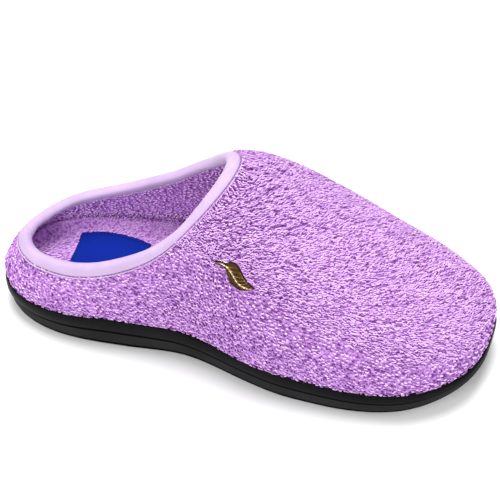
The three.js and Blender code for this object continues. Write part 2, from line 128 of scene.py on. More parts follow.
# The side of the sole, from the tread's edge up over the rim.
SIDE_STEPS = table(
    "inset up",
    (1.4, 0.0),
    (0.67, 0.04),
    (0.37, 0.1),
    (0.37, 0.15),
    (0.67, 0.18),
    (0.23, 0.21),
    (0.17, 0.58),
    (0.5, 0.62),
    (0.0, 0.66),
    (0.13, 0.88),
    (0.47, 1.0),
)
# The collar's edge from its back to the throat.
COLLAR_SHAPE = table(
    "at half height",
    (0.0, 0.88, 0.354),
    (0.15, 1.0, 0.407),
    (0.35, 1.0, 0.461),
    (0.6, 1.03, 0.587),
    (0.8, 1.13, 0.752),
    (1.0, 1.1, 1.0),
)
# Which collar point each point of the outline leads to, as shares of a full turn.
COLLAR_MAP = table(
    "at turn",
    (0.0, 0.0),
    (0.0625, 0.072),
    (0.125, 0.148),
    (0.1875, 0.255),
    (0.25, 0.392),
    (0.3125, 0.447),
    (0.375, 0.473),
    (0.4375, 0.488),
    (0.5, 0.5),
)
# Handles of the upper's meridians around the shoe, from the heel to the toe.
MERIDIANS = table(
    "at inset rise across lift reach drop",
    (0.0, 1.07, 0.25, 0.5, 0.6, 0.25, 0.25),
    (0.125, 0.73, 0.25, 0.45, 0.6, 0.25, 0.25),
    (0.1875, 0.4, 0.35, 0.4, 0.65, 0.25, 0.2),
    (0.25, 0.3, 0.45, 0.3, 0.85, 0.3, 0.08),
    (0.3125, 0.3, 0.45, 0.4, 0.72, 0.2, 0.05),
    (0.375, 0.3, 0.42, 0.46, 0.51, 0.14, 0.02),
    (0.4375, 0.3, 0.37, 0.52, 0.39, 0.12, 0.0),
    (0.5, 0.3, 0.35, 0.54, 0.36, 0.12, 0.0),
)


def through(rows, column):
    """A smooth function through a table's rows, with no overshoot between them."""
    x, y = rows["at"], rows[column]
    secant = np.diff(y) / np.diff(x)
    product = secant[:-1] * secant[1:]
    total = np.where(product > 0, secant[:-1] + secant[1:], 1.0)
    inner = np.where(product > 0, 2 * product / total, 0.0)
    slope = np.concatenate([secant[:1], inner, secant[-1:]])

    def value(at):
        t = np.clip(at, x[0], x[-1])
        i = np.clip(np.searchsorted(x, t, side="right") - 1, 0, len(x) - 2)
        step = x[i + 1] - x[i]
        u = (t - x[i]) / step
        v = 1 - u
        return (
            y[i] * v * v * (1 + 2 * u)
            + y[i + 1] * u * u * (1 + 2 * v)
            + step * u * v * (slope[i] * v - slope[i + 1] * u)
        )

    return value


def share_at(x):
    return x / SOLE_LENGTH + 0.5


def end_round(x):
    """How much of the full width is left near the rounded heel and toe."""
    power = np.where(x < 0, HEEL_ROUND, TOE_ROUND)
    reach = np.minimum(np.abs(x) / (SOLE_LENGTH / 2), 1.0)
    return (1 - reach ** (1.6 * power)) ** (1 / power)


medial_share = through(PLAN, "medial")
lateral_share = through(PLAN, "lateral")


def raw_medial(x):
    return -medial_share(share_at(x)) * BALL_WIDTH * end_round(x)


def raw_lateral(x):
    return lateral_share(share_at(x)) * BALL_WIDTH * end_round(x)


# The outline is shifted sideways so that the footprint's middle is at y = 0.
STATIONS = -SOLE_LENGTH / 2 * np.cos(np.linspace(0, math.pi, 37))
AXIS_Y = -(raw_lateral(STATIONS).max() + raw_medial(STATIONS).min()) / 2


def medial_y(x):
    return raw_medial(x) + AXIS_Y


def lateral_y(x):
    return raw_lateral(x) + AXIS_Y


def middle_y(x):
    return (medial_y(x) + lateral_y(x)) / 2


def half_width(x):
    return (lateral_y(x) - medial_y(x)) / 2


def outline(turn):
    """Point of the sole's outline: 0 behind the heel, then along the medial side."""
    turn = np.mod(turn, 1.0)
    x = -SOLE_LENGTH / 2 * np.cos(2 * math.pi * turn)
    return np.stack([x, np.where(turn < 0.5, medial_y(x), lateral_y(x))], -1)


def outwards(turn):
    """Outward direction of the outline, level."""
    step = 1 / 144
    along = outline(turn + step) - outline(turn - step)
    along /= np.linalg.norm(along, axis=-1, keepdims=True)
    return np.stack([along[..., 1], -along[..., 0]], -1)


def inset(turn, distance):
    """The outline moved in by a distance, which is one value or one for each point."""
    return outline(turn) - outwards(turn) * np.broadcast_to(distance, turn.shape)[..., None]


def drawn_in(edge, x, share):
    """A line round the shoe, with an x for each point, drawn in towards the sole's spine."""
    spine = np.stack([x * SPINE_SHARE, middle_y(x * SPINE_SHARE)], -1)
    return spine + (edge - spine) * share


side_share = through(HEIGHTS, "side")
floor_share = through(HEIGHTS, "floor")
footbed_share = through(HEIGHTS, "footbed")
dish_share = through(HEIGHTS, "dish")


def bottom_z(x):
    """Height of the tread: toe spring, heel spring and the lift under the waist."""
    at = share_at(x)
    toe = np.maximum(0, (at - 0.71) / 0.29)
    heel = np.maximum(0, (0.1 - at) / 0.1)
    arch = np.clip((at - 0.3) / 0.26, 0, 1)
    waist = np.sin(math.pi * arch) ** 2
    return TOE_SPRING * toe**2 + HEEL_SPRING * heel**2 + ARCH_LIFT * waist


def rim_z(x):
    return bottom_z(x) + SOLE_SIDE * side_share(share_at(x))


def floor_z(x):
    return bottom_z(x) + SOLE_FLOOR * floor_share(share_at(x))


def footbed_z(x, y):
    """Top of the footbed: thicker under the waist, dished towards its edge."""
    reach = half_width(x) - (RIM_WALL + WALL + 2 * CLEARANCE)
    aside = (y - middle_y(x)) / np.maximum(reach, 1)
    dish = dish_share(share_at(x)) * np.minimum(np.abs(aside) ** 3, 1)
    thick = FOOTBED_THICKNESS * footbed_share(share_at(x))
    return floor_z(x) + CLEARANCE + thick + FOOTBED_DISH * dish


collar_half = through(COLLAR_SHAPE, "half")
collar_height = through(COLLAR_SHAPE, "height")
collar_turn = through(COLLAR_MAP, "turn")


def collar_point(turn):
    at = (1 - np.cos(2 * math.pi * turn)) / 2
    side = -np.sin(2 * math.pi * turn) * collar_half(at) * COLLAR_HALF_WIDTH
    x = -SOLE_LENGTH / 2 + COLLAR_BACK_INSET + at * COLLAR_LENGTH
    return np.stack([x, AXIS_Y + COLLAR_SHIFT + side, THROAT_HEIGHT * collar_height(at)], -1)


def bezier(handles, t):
    """Points of a Bezier curve whose handles run along the first axis."""
    while len(handles) > 1:
        handles = handles[:-1] * (1 - t) + handles[1:] * t
    return handles[0]


class UpperSkin:
    """The upper's outer face as fine rows of points, from its skirt up to the collar."""

    AROUND = 720
    SKIRT_ROWS = 10
    ROWS = 130

    def __init__(self):
        turn = np.arange(self.AROUND) / self.AROUND
        half = np.minimum(turn, 1 - turn)
        x = outline(turn)[:, 0]
        shares = {name: through(MERIDIANS, name)(half) for name in MERIDIANS if name != "at"}
        led = collar_turn(half)
        end = collar_point(np.where(turn < 0.5, led, 1 - led))
        bulge = shares["inset"] * RIM_WALL
        start = np.column_stack([inset(turn, bulge), rim_z(x) + BULGE_RISE])

        def handle(run, up):
            place = start + (end - start) * np.asarray(run)[..., None]
            place[:, 2] = start[:, 2] + (end[:, 2] - start[:, 2]) * up
            return place

        rising = handle(np.zeros_like(half), shares["rise"])
        middle = handle(shares["across"], shares["lift"])
        arriving = handle(1 - shares["reach"], 1 - shares["drop"])
        handles = np.array([start, rising, middle, arriving, end])
        fine = np.array([bezier(handles, t) for t in np.linspace(0, 1, 160)])
        run = np.linalg.norm(np.diff(fine, axis=0), axis=2).cumsum(axis=0)
        run = np.vstack([np.zeros(self.AROUND), run])
        self.length = run[-1]
        even = np.linspace(0, 1, self.ROWS)
        meridian = np.empty((self.ROWS, self.AROUND, 3))
        for i, axis in np.ndindex(self.AROUND, 3):
            meridian[:, i, axis] = np.interp(even * run[-1, i], run[:, i], fine[:, i, axis])
        deep = RIM_WALL + CLEARANCE
        foot = np.column_stack([inset(turn, deep), floor_z(x) + CLEARANCE])
        low = np.column_stack([inset(turn, deep), rim_z(x) - 0.6])
        swell = np.column_stack([inset(turn, bulge * 0.7), rim_z(x) + 0.4])
        steps = np.linspace(0, 1, self.SKIRT_ROWS)[:-1]
        skirt = [foot] + [bezier(np.array([low, swell, start]), t) for t in steps]
        self.points = np.concatenate([np.array(skirt), meridian])
        self.first, self.last = len(skirt), len(self.points) - 1
        self.normals = normals_of(self.points)
        self.points += self.normals * creases(self.points)[..., None]
        self.normals = normals_of(self.points)

    def at(self, turn, row):
        """Point and normal at a share of the turn and a row, between the stored ones."""
        return sampled(self.points, turn, row), unit(sampled(self.normals, turn, row))

    def below_collar(self, turn, distance):
        """Point and normal at a distance under the collar's edge."""
        turns = np.arange(self.AROUND + 1) / self.AROUND
        length = np.interp(turn, turns, np.append(self.length, self.length[0]))
        row = self.first + (self.ROWS - 1) * (1 - distance / length)
        return self.at(turn, row)

    def clear_of_tape(self, rows, turn, reach):
        """Whether places are further than the tape's reach under the collar's edge."""
        length = np.interp(turn, np.linspace(0, 1, self.AROUND), self.length)
        return rows < self.last - (self.ROWS - 1) * reach / length


def unit(vectors):
    return vectors / np.maximum(np.linalg.norm(vectors, axis=-1, keepdims=True), 1e-9)


def normals_of(points):
    """Outward normals of rows of points that run round the shoe."""
    along = np.roll(points, -1, axis=1) - np.roll(points, 1, axis=1)
    return unit(np.cross(along, np.gradient(points, axis=0)))


def sampled(grid, turn, row):
    """Values of a grid of rows between its own places. The columns close round the shoe."""
    rows, columns = grid.shape[:2]
    column = np.mod(turn, 1.0) * columns
    i = np.floor(column).astype(int)
    a = (column - i)[..., None]
    row = np.clip(row, 0, rows - 1)
    j = np.minimum(np.floor(row).astype(int), rows - 2)
    b = (row - j)[..., None]
    i, after = i % columns, (i + 1) % columns
    low = grid[j, i] * (1 - a) + grid[j, after] * a
    high = grid[j + 1, i] * (1 - a) + grid[j + 1, after] * a
    return low * (1 - b) + high * b


# Soft folds of the upper, listed one by one: middle, direction of the fold in plan, half
# length, half width and depth. A negative depth is a trough.
CREASES = table(
    "x y heading length width depth",
    (-20, -40, 8, 38, 9, -1.0),
    (30, -38, 20, 30, 8, 0.7),
    (62, -22, 35, 26, 8, -0.8),
    (88, 6, 55, 24, 7, 0.6),
    (36, 14, 70, 30, 9, -0.6),
    (100, -30, 60, 18, 6, -0.6),
    (70, 32, -10, 30, 8, 0.5),
)


def creases(points):
    """How far the soft folds move each point along its normal."""
    moved = np.zeros(points.shape[:-1])
    for x, y, heading, length, width, depth in zip(*CREASES.values()):
        angle = math.radians(heading)
        dx, dy = points[..., 0] - x, points[..., 1] - y
        along = dx * math.cos(angle) + dy * math.sin(angle)
        across = dy * math.cos(angle) - dx * math.sin(angle)
        moved += depth * np.exp(-((along / length) ** 2) - (across / width) ** 2)
    return moved


skin = UpperSkin()


# Tools for meshes

def only(piece):
    """Selects one piece and makes it active."""
    bpy.ops.object.select_all(action="DESELECT")
    bpy.context.view_layer.objects.active = piece
    piece.select_set(True)


def added(add, **settings):
    """The primitive that an operator adds, with nothing else selected."""
    bpy.ops.object.select_all(action="DESELECT")
    add(**settings)
    return bpy.context.object


def places(piece):
    flat = np.empty(len(piece.data.vertices) * 3)
    piece.data.vertices.foreach_get("co", flat)
    return flat.reshape(-1, 3)


def move_to(piece, points):
    piece.data.vertices.foreach_set("co", np.asarray(points, np.float32).ravel())
    piece.data.update()


def edit(piece, *steps):
    """Runs edit-mode steps on everything in a piece."""
    only(piece)
    bpy.ops.object.mode_set(mode="EDIT")
    bpy.ops.mesh.select_all(action="SELECT")
    for step in steps:
        step()
    bpy.ops.object.mode_set(mode="OBJECT")


def merge_doubles():
    bpy.ops.mesh.remove_doubles(threshold=1e-6)


def face_out():
    bpy.ops.mesh.normals_make_consistent(inside=False)


def modify(piece, kind, **settings):
    """Adds a modifier and applies it."""
    only(piece)
    modifier = piece.modifiers.new(kind.title(), kind)
    for name, value in settings.items():
        setattr(modifier, name, value)
    bpy.ops.object.modifier_apply(modifier=modifier.name)


def smooth(piece, angle=None):
    only(piece)
    if angle is None:
        bpy.ops.object.shade_smooth()
    else:
        bpy.ops.object.shade_smooth_by_angle(angle=math.radians(angle))


def wrapped_grid(name, around, up, place):
    """A grid primitive whose points are laid on a form: place takes two shares, gives mm."""
    grid = bpy.ops.mesh.primitive_grid_add
    piece = added(grid, x_subdivisions=around, y_subdivisions=up, size=1)
    piece.name = piece.data.name = name
    flat = places(piece) + 0.5
    move_to(piece, place(flat[:, 0].round(7), flat[:, 1].round(7)) * MM)
    edit(piece, merge_doubles, face_out)
    return piece


def cad_copy(node, name):
    """A merged copy of a solid of the frame, in quads where it can be."""
    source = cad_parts[node]
    piece = source.copy()
    piece.data = source.data.copy()
    piece.name = piece.data.name = name
    piece.parent = None
    for key in list(piece.keys()):
        del piece[key]
    piece.data.materials.clear()
    bpy.context.scene.collection.objects.link(piece)
    edit(
        piece,
        lambda: bpy.ops.mesh.remove_doubles(threshold=1e-5),
        lambda: bpy.ops.mesh.tris_convert_to_quads(face_threshold=1.2, shape_threshold=1.5),
    )
    return piece


def dress(piece, material, slot, *nodes):
    """Gives a piece its finish, rides it on the root body and hides the solids it stands for."""
    piece.data.materials.clear()
    piece.data.materials.append(material)
    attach(piece, "root")
    if nodes:
        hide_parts(*nodes)


def joined(name, placed, shape):
    """One mesh of many copies of a small shape, from the places of their points."""
    count, size = placed.shape[:2]
    mesh = bpy.data.meshes.new(name)
    corners = np.empty(len(shape.data.loops), np.int32)
    shape.data.loops.foreach_get("vertex_index", corners)
    starts = np.empty(len(shape.data.polygons), np.int32)
    shape.data.polygons.foreach_get("loop_start", starts)
    shift = np.arange(count, dtype=np.int32)[:, None]
    mesh.vertices.add(count * size)
    mesh.vertices.foreach_set("co", placed.astype(np.float32).ravel())
    mesh.loops.add(count * len(corners))
    mesh.loops.foreach_set("vertex_index", (corners + shift * size).ravel())
    mesh.polygons.add(count * len(starts))
    mesh.polygons.foreach_set("loop_start", (starts + shift * len(corners)).ravel())
    mesh.polygons.foreach_set("use_smooth", np.ones(count * len(starts), bool))
    mesh.update(calc_edges=True)
    mesh.validate()
    piece = bpy.data.objects.new(name, mesh)
    bpy.context.scene.collection.objects.link(piece)
    return piece


def remove(piece):
    only(piece)
    bpy.ops.object.delete()


def mark(piece, name, values):
    """Stores a number for each point, which the material reads by that name."""
    attribute = piece.data.attributes.new(name, "FLOAT", "POINT")
    attribute.data.foreach_set("value", np.asarray(values, np.float32).ravel())


# Materials

def linear(colour):
    """A colour as the screen shows it, from 0 to 255, as Blender's linear one."""
    c = np.array(colour, float) / 255
    bent = np.where(c <= 0.04045, c / 12.92, ((c + 0.055) / 1.055) ** 2.4)
    return tuple(float(x) for x in bent)


def darker(colour, share):
    return tuple(c * share for c in colour)


def between(one, other, share):
    return tuple(a + (b - a) * share for a, b in zip(one, other))


class Finish:
    """A new material with its nodes close at hand. Settings name the shader's sockets."""

    def __init__(self, name, **settings):
        self.material = bpy.data.materials.new(name)
        self.material.use_nodes = True
        self.nodes = self.material.node_tree.nodes
        self.shader = self.nodes["Principled BSDF"]
        for socket, value in settings.items():
            self.shader.inputs[socket.replace("_", " ")].default_value = value

    def link(self, value, socket):
        self.material.node_tree.links.new(value, socket)

    def feed(self, **values):
        """Links values to the shader's sockets and gives the material."""
        for socket, value in values.items():
            self.link(value, self.shader.inputs[socket.replace("_", " ")])
        return self.material

    def add(self, kind, inputs=(), **settings):
        node = self.nodes.new("ShaderNode" + kind)
        for name, value in settings.items():
            setattr(node, name, value)
        for socket, value in dict(inputs).items():
            if isinstance(value, bpy.types.NodeSocket):
                self.link(value, node.inputs[socket])
            else:
                node.inputs[socket].default_value = value
        return node

    def stored(self, name):
        """A number that the mesh stores for each point."""
        return self.add("Attribute", attribute_name=name).outputs["Fac"]

    def grid(self, *scale):
        """The piece's own UV map, stretched to a count of threads each way."""
        uv = self.add("TexCoord").outputs["UV"]
        return self.add("Mapping", {"Vector": uv, "Scale": (*scale, 1)}).outputs[0]

    def noise(self, scale, detail):
        place = self.add("TexCoord").outputs["Object"]
        inputs = {"Vector": place, "Scale": scale, "Detail": detail, "Roughness": 0.55}
        return self.add("TexNoise", inputs).outputs["Fac"]

    def wave(self, place, direction, scale=1.0, distortion=0.0, detail=2.0):
        inputs = {"Vector": place, "Scale": scale, "Distortion": distortion, "Detail": detail}
        return self.add("TexWave", inputs, bands_direction=direction).outputs["Fac"]

    def ramp(self, value, *stops):
        node = self.add("ValToRGB", {"Fac": value})
        elements = node.color_ramp.elements
        while len(elements) < len(stops):
            elements.new(0.5)
        for element, (at, colour) in zip(elements, stops):
            element.position = at
            element.color = (*colour, 1.0)
        return node.outputs["Color"]

    def multiply(self, colour, other):
        inputs = {0: 1.0, 6: colour, 7: other}
        return self.add("Mix", inputs, data_type="RGBA", blend_type="MULTIPLY").outputs[2]

    def combine(self, operation, one, other):
        return self.add("Math", {0: one, 1: other}, operation=operation).outputs[0]

    def range(self, value, low, high, to_low, to_high):
        inputs = {"Value": value, 1: low, 2: high, 3: to_low, 4: to_high}
        return self.add("MapRange", inputs).outputs[0]

    def bump(self, height, distance, strength, *under):
        """A bump on the plain surface, or on the bump that is given after it."""
        inputs = {"Height": height, "Distance": distance, "Strength": strength}
        inputs.update(("Normal", normal) for normal in under)
        return self.add("Bump", inputs).outputs["Normal"]


# Shades up the side of the sole, from the tread at 0 to the rim at 1: dark lines part its bands,
# painted shade in the grooves between them.
BAND, SIDE_GROOVE_SHADE, RIM = (1, 1, 1), (0.01, 0.01, 0.01), (0.35, 0.35, 0.37)
SIDE_SHADES = (
    (0.1, BAND),
    (0.12, SIDE_GROOVE_SHADE),
    (0.19, SIDE_GROOVE_SHADE),
    (0.21, BAND),
    (0.545, BAND),
    (0.56, SIDE_GROOVE_SHADE),
    (0.65, SIDE_GROOVE_SHADE),
    (0.68, RIM),
)


def rubber_finish(colours):
    """Moulded black rubber: fine matt grain, a smoother rim, painted shade in the side's grooves.
    """
    made = Finish("black_rubber", Specular_IOR_Level=0.035)
    base = linear(colours.rubber_srgb)
    lighter = tuple(c * 1.6 + 0.002 for c in base)
    up, broad = made.stored("up"), made.noise(45, 4)
    plain = made.ramp(broad, (0.3, base), (0.75, lighter))
    grain = made.bump(made.noise(1900, 2), 0.00006, 0.5)
    return made.feed(
        # Painted shade: the side's shades darken the rubber in its grooves.
        Base_Color=made.multiply(plain, made.ramp(up, *SIDE_SHADES)),
        Roughness=made.range(up, 0.6, 0.7, 0.62, 0.38),
        Normal=made.bump(broad, 0.0002, 0.25, grain),
    )


def pile_finish(name, colours, inside_painted_light):
    """Cotton loops: dark at the root and in the troughs, which is painted shade, light at the tip,
    varying from loop to loop.

    inside_painted_light is how far the roots and body of the loops go towards the brighter colour
    of the pile inside, painted light against the shade in the shoe.
    """
    deep, body = linear(colours.pile_dark_and_shade_srgb), linear(colours.pile_srgb)
    light, inner = linear(colours.pile_light_srgb), linear(colours.pile_inside_painted_light_srgb)
    # Painted light: inside the shoe the pile's colours go brighter, against the shade there.
    deep, body = between(deep, body, 0.3 * inside_painted_light), between(body, inner, inside_painted_light)
    made = Finish(
        name,
        Roughness=0.85,
        Specular_IOR_Level=0.1,
        Sheen_Weight=0.08,
        Sheen_Roughness=0.45,
        Sheen_Tint=(*light, 1),
    )
    # Painted shade: the stored values darken at the loops' roots and in the troughs of the pile.
    tones = made.ramp(made.stored("tone_and_shade"), (0.0, deep), (0.45, body), (1.0, light))
    return made.feed(Base_Color=tones)


def cloth_finish(colours):
    """The woven ground that the loops stand on, flecked with the pile's dark colour as painted
    shade in the gaps between the loops.
    """
    made = Finish("terry_ground", Roughness=0.95)
    speck = made.noise(700, 3)
    deep, body = linear(colours.pile_dark_and_shade_srgb), linear(colours.pile_srgb)
    return made.feed(
        # Painted shade: the dark flecks stand for the shade between the loops.
        Base_Color=made.ramp(speck, (0.3, deep), (0.6, body)),
        Normal=made.bump(speck, 0.0006, 0.9),
    )


def tape_finish(colours):
    """Smooth knitted tape with a fine rib, a soft sheen and painted shade in the stitched dip."""
    made = Finish(
        "satin_tape",
        Roughness=0.6,
        Specular_IOR_Level=0.25,
        Sheen_Weight=0.15,
        Sheen_Roughness=0.4,
        Sheen_Tint=(1, 0.95, 1, 1),
    )
    base, white, shade = linear(colours.tape_srgb), (1, 1, 1), (0.3, 0.2, 0.36)
    broad = made.noise(70, 3)
    plain = made.ramp(broad, (0.3, darker(base, 0.88)), (0.7, base))
    across = made.add("SeparateXYZ", {0: made.add("TexCoord").outputs["UV"]}).outputs["Y"]
    # Painted shade: a dark line along the dip in the tape that holds the stitches.
    steps = ((-0.05, white), (-0.03, shade), (0.02, shade), (0.045, white))
    seam_shade = made.ramp(across, *((SEAM + step, colour) for step, colour in steps))
    rib = made.wave(made.grid(520, 30), "X", distortion=0.4)
    soft = made.bump(broad, 0.0006, 0.35)
    return made.feed(
        Base_Color=made.multiply(plain, seam_shade), Normal=made.bump(rib, 0.00005, 0.5, soft)
    )


def thread_finish(name, colour):
    """Twisted thread."""
    made = Finish(name, Roughness=0.6, Sheen_Weight=0.3)
    twist, base = made.noise(1600, 2), linear(colour)
    return made.feed(
        Base_Color=made.ramp(twist, (0.3, darker(base, 0.7)), (0.7, base)),
        Normal=made.bump(twist, 0.0001, 0.6),
    )


def label_finish(colours):
    """Close woven polyester in twill."""
    made = Finish("blue_weave", Roughness=0.7, Specular_IOR_Level=0.12)
    warp, base = made.grid(66, 60), linear(colours.label_srgb)
    twill = made.wave(warp, "DIAGONAL", distortion=0.6, detail=1.0)
    weft = made.wave(warp, "Y", scale=1.4)
    shade = made.combine("SUBTRACT", twill, made.range(made.stored("hem"), 0, 1, 0, 0.7))
    return made.feed(
        Base_Color=made.ramp(shade, (0.0, darker(base, 0.4)), (0.7, base)),
        Normal=made.bump(weft, 0.00008, 0.5, made.bump(twill, 0.00012, 0.7)),
    )


def brass_finish(colours):
    """Antique brass: dark in the hollows, rubbed bright on the ridges."""
    made = Finish("antique_brass", Metallic=1.0)
    stain = made.noise(420, 4)
    worn = made.combine("ADD", made.stored("relief"), made.range(stain, 0.3, 0.7, -0.16, 0.16))
    tones = (colours.brass_dark_srgb, colours.brass_srgb, colours.brass_worn_srgb)
    return made.feed(
        Base_Color=made.ramp(worn, *zip((0.1, 0.55, 0.95), map(linear, tones))),
        Roughness=made.range(worn, 0, 1, 0.5, 0.26),
        Normal=made.bump(stain, 0.00012, 0.5),
    )


def finish_of(make, *arguments):
    """A finish that is made once and then shared."""
    key = "_".join([make.__name__, *[str(a) for a in arguments if isinstance(a, str)]])
    if key not in finishes:
        finishes[key] = make(*arguments)
    return finishes[key]


finishes = {}


# Pile

# The streaks of the pile: how far they are drawn out each way, and their pitch.
STREAK_REACH = 2.0
STREAK_PITCH = 0.95
# How far the pile on the vamp lies aslant to the shoe, in degrees.
VAMP_SLANT = 50
# How much thicker and wider apart the loops are low on the sides, round the heel and inside.
SIDE_FULLER = 1.45
SIDE_WIDER = 2.1
# Places tried for each that the spacing has room for.
TRIES = 2.6
# How far the tape reaches under the collar's edge, outside and inside.
OUTER_TAPE = 4.6
INNER_TAPE = 3.0
# How deep the roots of the loops are sunk in the cloth.
ROOT_DEPTH = 0.25
# Where along itself a loop bends over.
LOOP_KNEE = 0.45


def spread(points, spacing, keep, seed):
    """Even, random places on rows of points, as fractional rows and shares of the turn."""
    dice = np.random.default_rng(seed)
    across = np.roll(points, -1, axis=1)[:-1] - points[:-1]
    up = points[1:] - points[:-1]
    area = np.linalg.norm(np.cross(across, up), axis=2).ravel()
    tries = int(area.sum() / spacing**2 * TRIES)
    chosen = dice.choice(len(area), size=tries, p=area / area.sum())
    rows = chosen // points.shape[1] + dice.random(tries)
    turn = (chosen % points.shape[1] + dice.random(tries)) / points.shape[1]
    placed = sampled(points, turn, rows)
    wanted = keep(placed, rows, turn)
    held = thinned(placed[wanted], spacing)
    return rows[wanted][held], turn[wanted][held]


def spread_in_zones(points, keep, inside, spacings, seeds):
    """Places outside and inside a zone, each with its own spacing, and which lie inside."""
    parts = [
        spread(points, spacing, lambda *place: keep(*place) & (inside(*place) == zone), seed)
        for zone, spacing, seed in zip((False, True), spacings, seeds)
    ]
    rows, turn = (np.concatenate(pair) for pair in zip(*parts))
    return rows, turn, np.arange(len(rows)) >= len(parts[0][0])


def thinned(placed, spacing):
    """Indices of points that keep their distance from the ones before them."""
    cells, held = {}, []
    near = list(np.ndindex(3, 3, 3))
    keys = np.floor(placed / spacing).astype(int).tolist()
    least = spacing * spacing
    for n, ((kx, ky, kz), (x, y, z)) in enumerate(zip(keys, placed.tolist())):
        if not any(
            (x - ox) ** 2 + (y - oy) ** 2 + (z - oz) ** 2 < least
            for a, b, c in near
            for ox, oy, oz in cells.get((kx + a - 1, ky + b - 1, kz + c - 1), ())
        ):
            cells.setdefault((kx, ky, kz), []).append((x, y, z))
            held.append(n)
    return np.array(held, int)


def noise_at(points, scale, offset=0.0):
    """Smooth noise, about -1 to 1, at points that are first divided by a scale."""
    scaled = points / np.asarray(scale) + offset
    return np.array([noise.noise(Vector(p)) for p in scaled.tolist()])


def level_on(normal, lean):
    """The lean of each loop, laid in the cloth."""
    return unit(lean - normal * np.sum(lean * normal, axis=1, keepdims=True))


def streaks(points, lean):
    """0 in the thin troughs of the pile, which are drawn out along its lean, and 1 elsewhere."""
    steps = np.linspace(-STREAK_REACH, STREAK_REACH, 7)
    value = np.mean([noise_at(points + lean * s, STREAK_PITCH, 11.7) for s in steps], axis=0)
    return np.clip(value / value.std() / 0.7 + 1.9, 0, 1)


def loop_shape():
    """One loop of the pile: a three-sided tube, drawn to a blunt tip. Its z is its share."""
    cylinder = bpy.ops.mesh.primitive_cylinder_add
    loop = added(cylinder, vertices=3, radius=1, depth=1, location=(0, 0, 0.5))
    edit(loop, lambda: bpy.ops.mesh.bisect(plane_co=(0, 0, LOOP_KNEE), plane_no=(0, 0, 1)))
    only(loop)
    bpy.ops.object.transform_apply(location=True)
    return loop


def pile(name, base, normal, lean, height, reach, radius, tone_and_shade, root):
    """Many loops as one mesh: each rises from its base and lies over in its own direction."""
    loop = loop_shape()
    shape = places(loop)
    t = shape[:, 2]
    belly = np.interp(t, [0, LOOP_KNEE, 1], [0.75, 1.0, 0.55])
    tilt = np.interp(t, [0, LOOP_KNEE, 1], [0.1, 0.6, 1.2])
    across, deep = shape[:, 0] * radius[:, None] * belly, shape[:, 1] * radius[:, None] * belly
    forward = t**1.4 * reach[:, None] + deep * np.cos(tilt)
    rise = np.sin(0.68 * math.pi * t) * height[:, None] - deep * np.sin(tilt)
    placed = base[:, None]
    for way, along in ((np.cross(normal, lean), across), (lean, forward), (normal, rise)):
        placed = placed + way[:, None] * along[..., None]
    piece = joined(name, placed * MM, loop)
    # Painted shade: each loop darkens towards its root.
    shade = tone_and_shade[:, None] * (root + (1 - root) * t**0.6)
    mark(piece, "tone_and_shade", np.clip(shade, 0, 1))
    remove(loop)
    return piece


def loops_on(name, base, normal, nap, taller, sizes, seed, depth, light, fuller=1.0):
    """Loops that stand at the given places, shorter in the troughs of the pile, where they are
    painted darker as shade.

    depth says how much they differ from each other and how dark their painted shade is at the
    roots and in the troughs, from 1 on the vamp to 2.3 on the sides.
    light is their middle lightness, raised inside the shoe as painted light, and fuller how much
    thicker than on the vamp they are.
    """
    dice = np.random.default_rng(seed)
    count = len(base)
    row = streaks(base, level_on(normal, nap))
    clump = noise_at(base, 3.0, 5.5)
    lean = nap + 0.36 * dice.normal(size=(count, 3)) * (0.5 + 0.8 * np.abs(clump))[:, None]
    height = sizes.loop_height / MM * (0.45 + 0.55 * row) * dice.uniform(0.8, 1.2, count)
    reach = sizes.loop_reach / MM * dice.uniform(0.75, 1.25, count) / fuller**0.4
    radius = sizes.loop_radius / MM * dice.uniform(0.85, 1.15, count) * fuller
    # Random differences from loop to loop, and painted shade in the troughs of the pile.
    uneven_and_trough_shade = 0.05 * clump + dice.normal(0, 0.17, count) + 0.4 * (row - row.mean())
    tone_and_shade, root = light + depth * uneven_and_trough_shade, max(0, 0.65 - 0.33 * depth)
    sunk, lean = base - normal * ROOT_DEPTH, level_on(normal, lean)
    return pile(name, sunk, normal, lean, height * taller, reach, radius, tone_and_shade, root)


# Settings that a user would change

def length_setting(name, description, default):
    return bpy.props.FloatProperty(
        name=name, description=description, default=default, min=0.0, unit="LENGTH", precision=5
    )


def colour_setting(name, description, default):
    return bpy.props.FloatVectorProperty(
        name=name, description=description, default=default, size=3, min=0.0, max=255.0
    )


class SlipperSizes(bpy.types.PropertyGroup):
    """Sizes of what is added to the solids"""

    loop_height: length_setting("Loop Height", "How far the loops stand up", 0.0015)
    loop_reach: length_setting("Loop Reach", "How far the loops lie over", 0.0019)
    loop_radius: length_setting("Loop Radius", "Half the thickness of a loop", 0.00038)
    loop_spacing: length_setting("Loop Spacing", "Least distance between loops", 0.00068)
    footbed_spacing: length_setting("Footbed Spacing", "The same, on the footbed", 0.00105)
    stitch_pitch: length_setting("Stitch Pitch", "From stitch to stitch on the tape", 0.0026)
    stitch_radius: length_setting("Stitch Radius", "Half the thickness of the thread", 0.0002)
    groove_bevel: length_setting("Groove Bevel", "Rounding of the sole's edges", 0.00025)


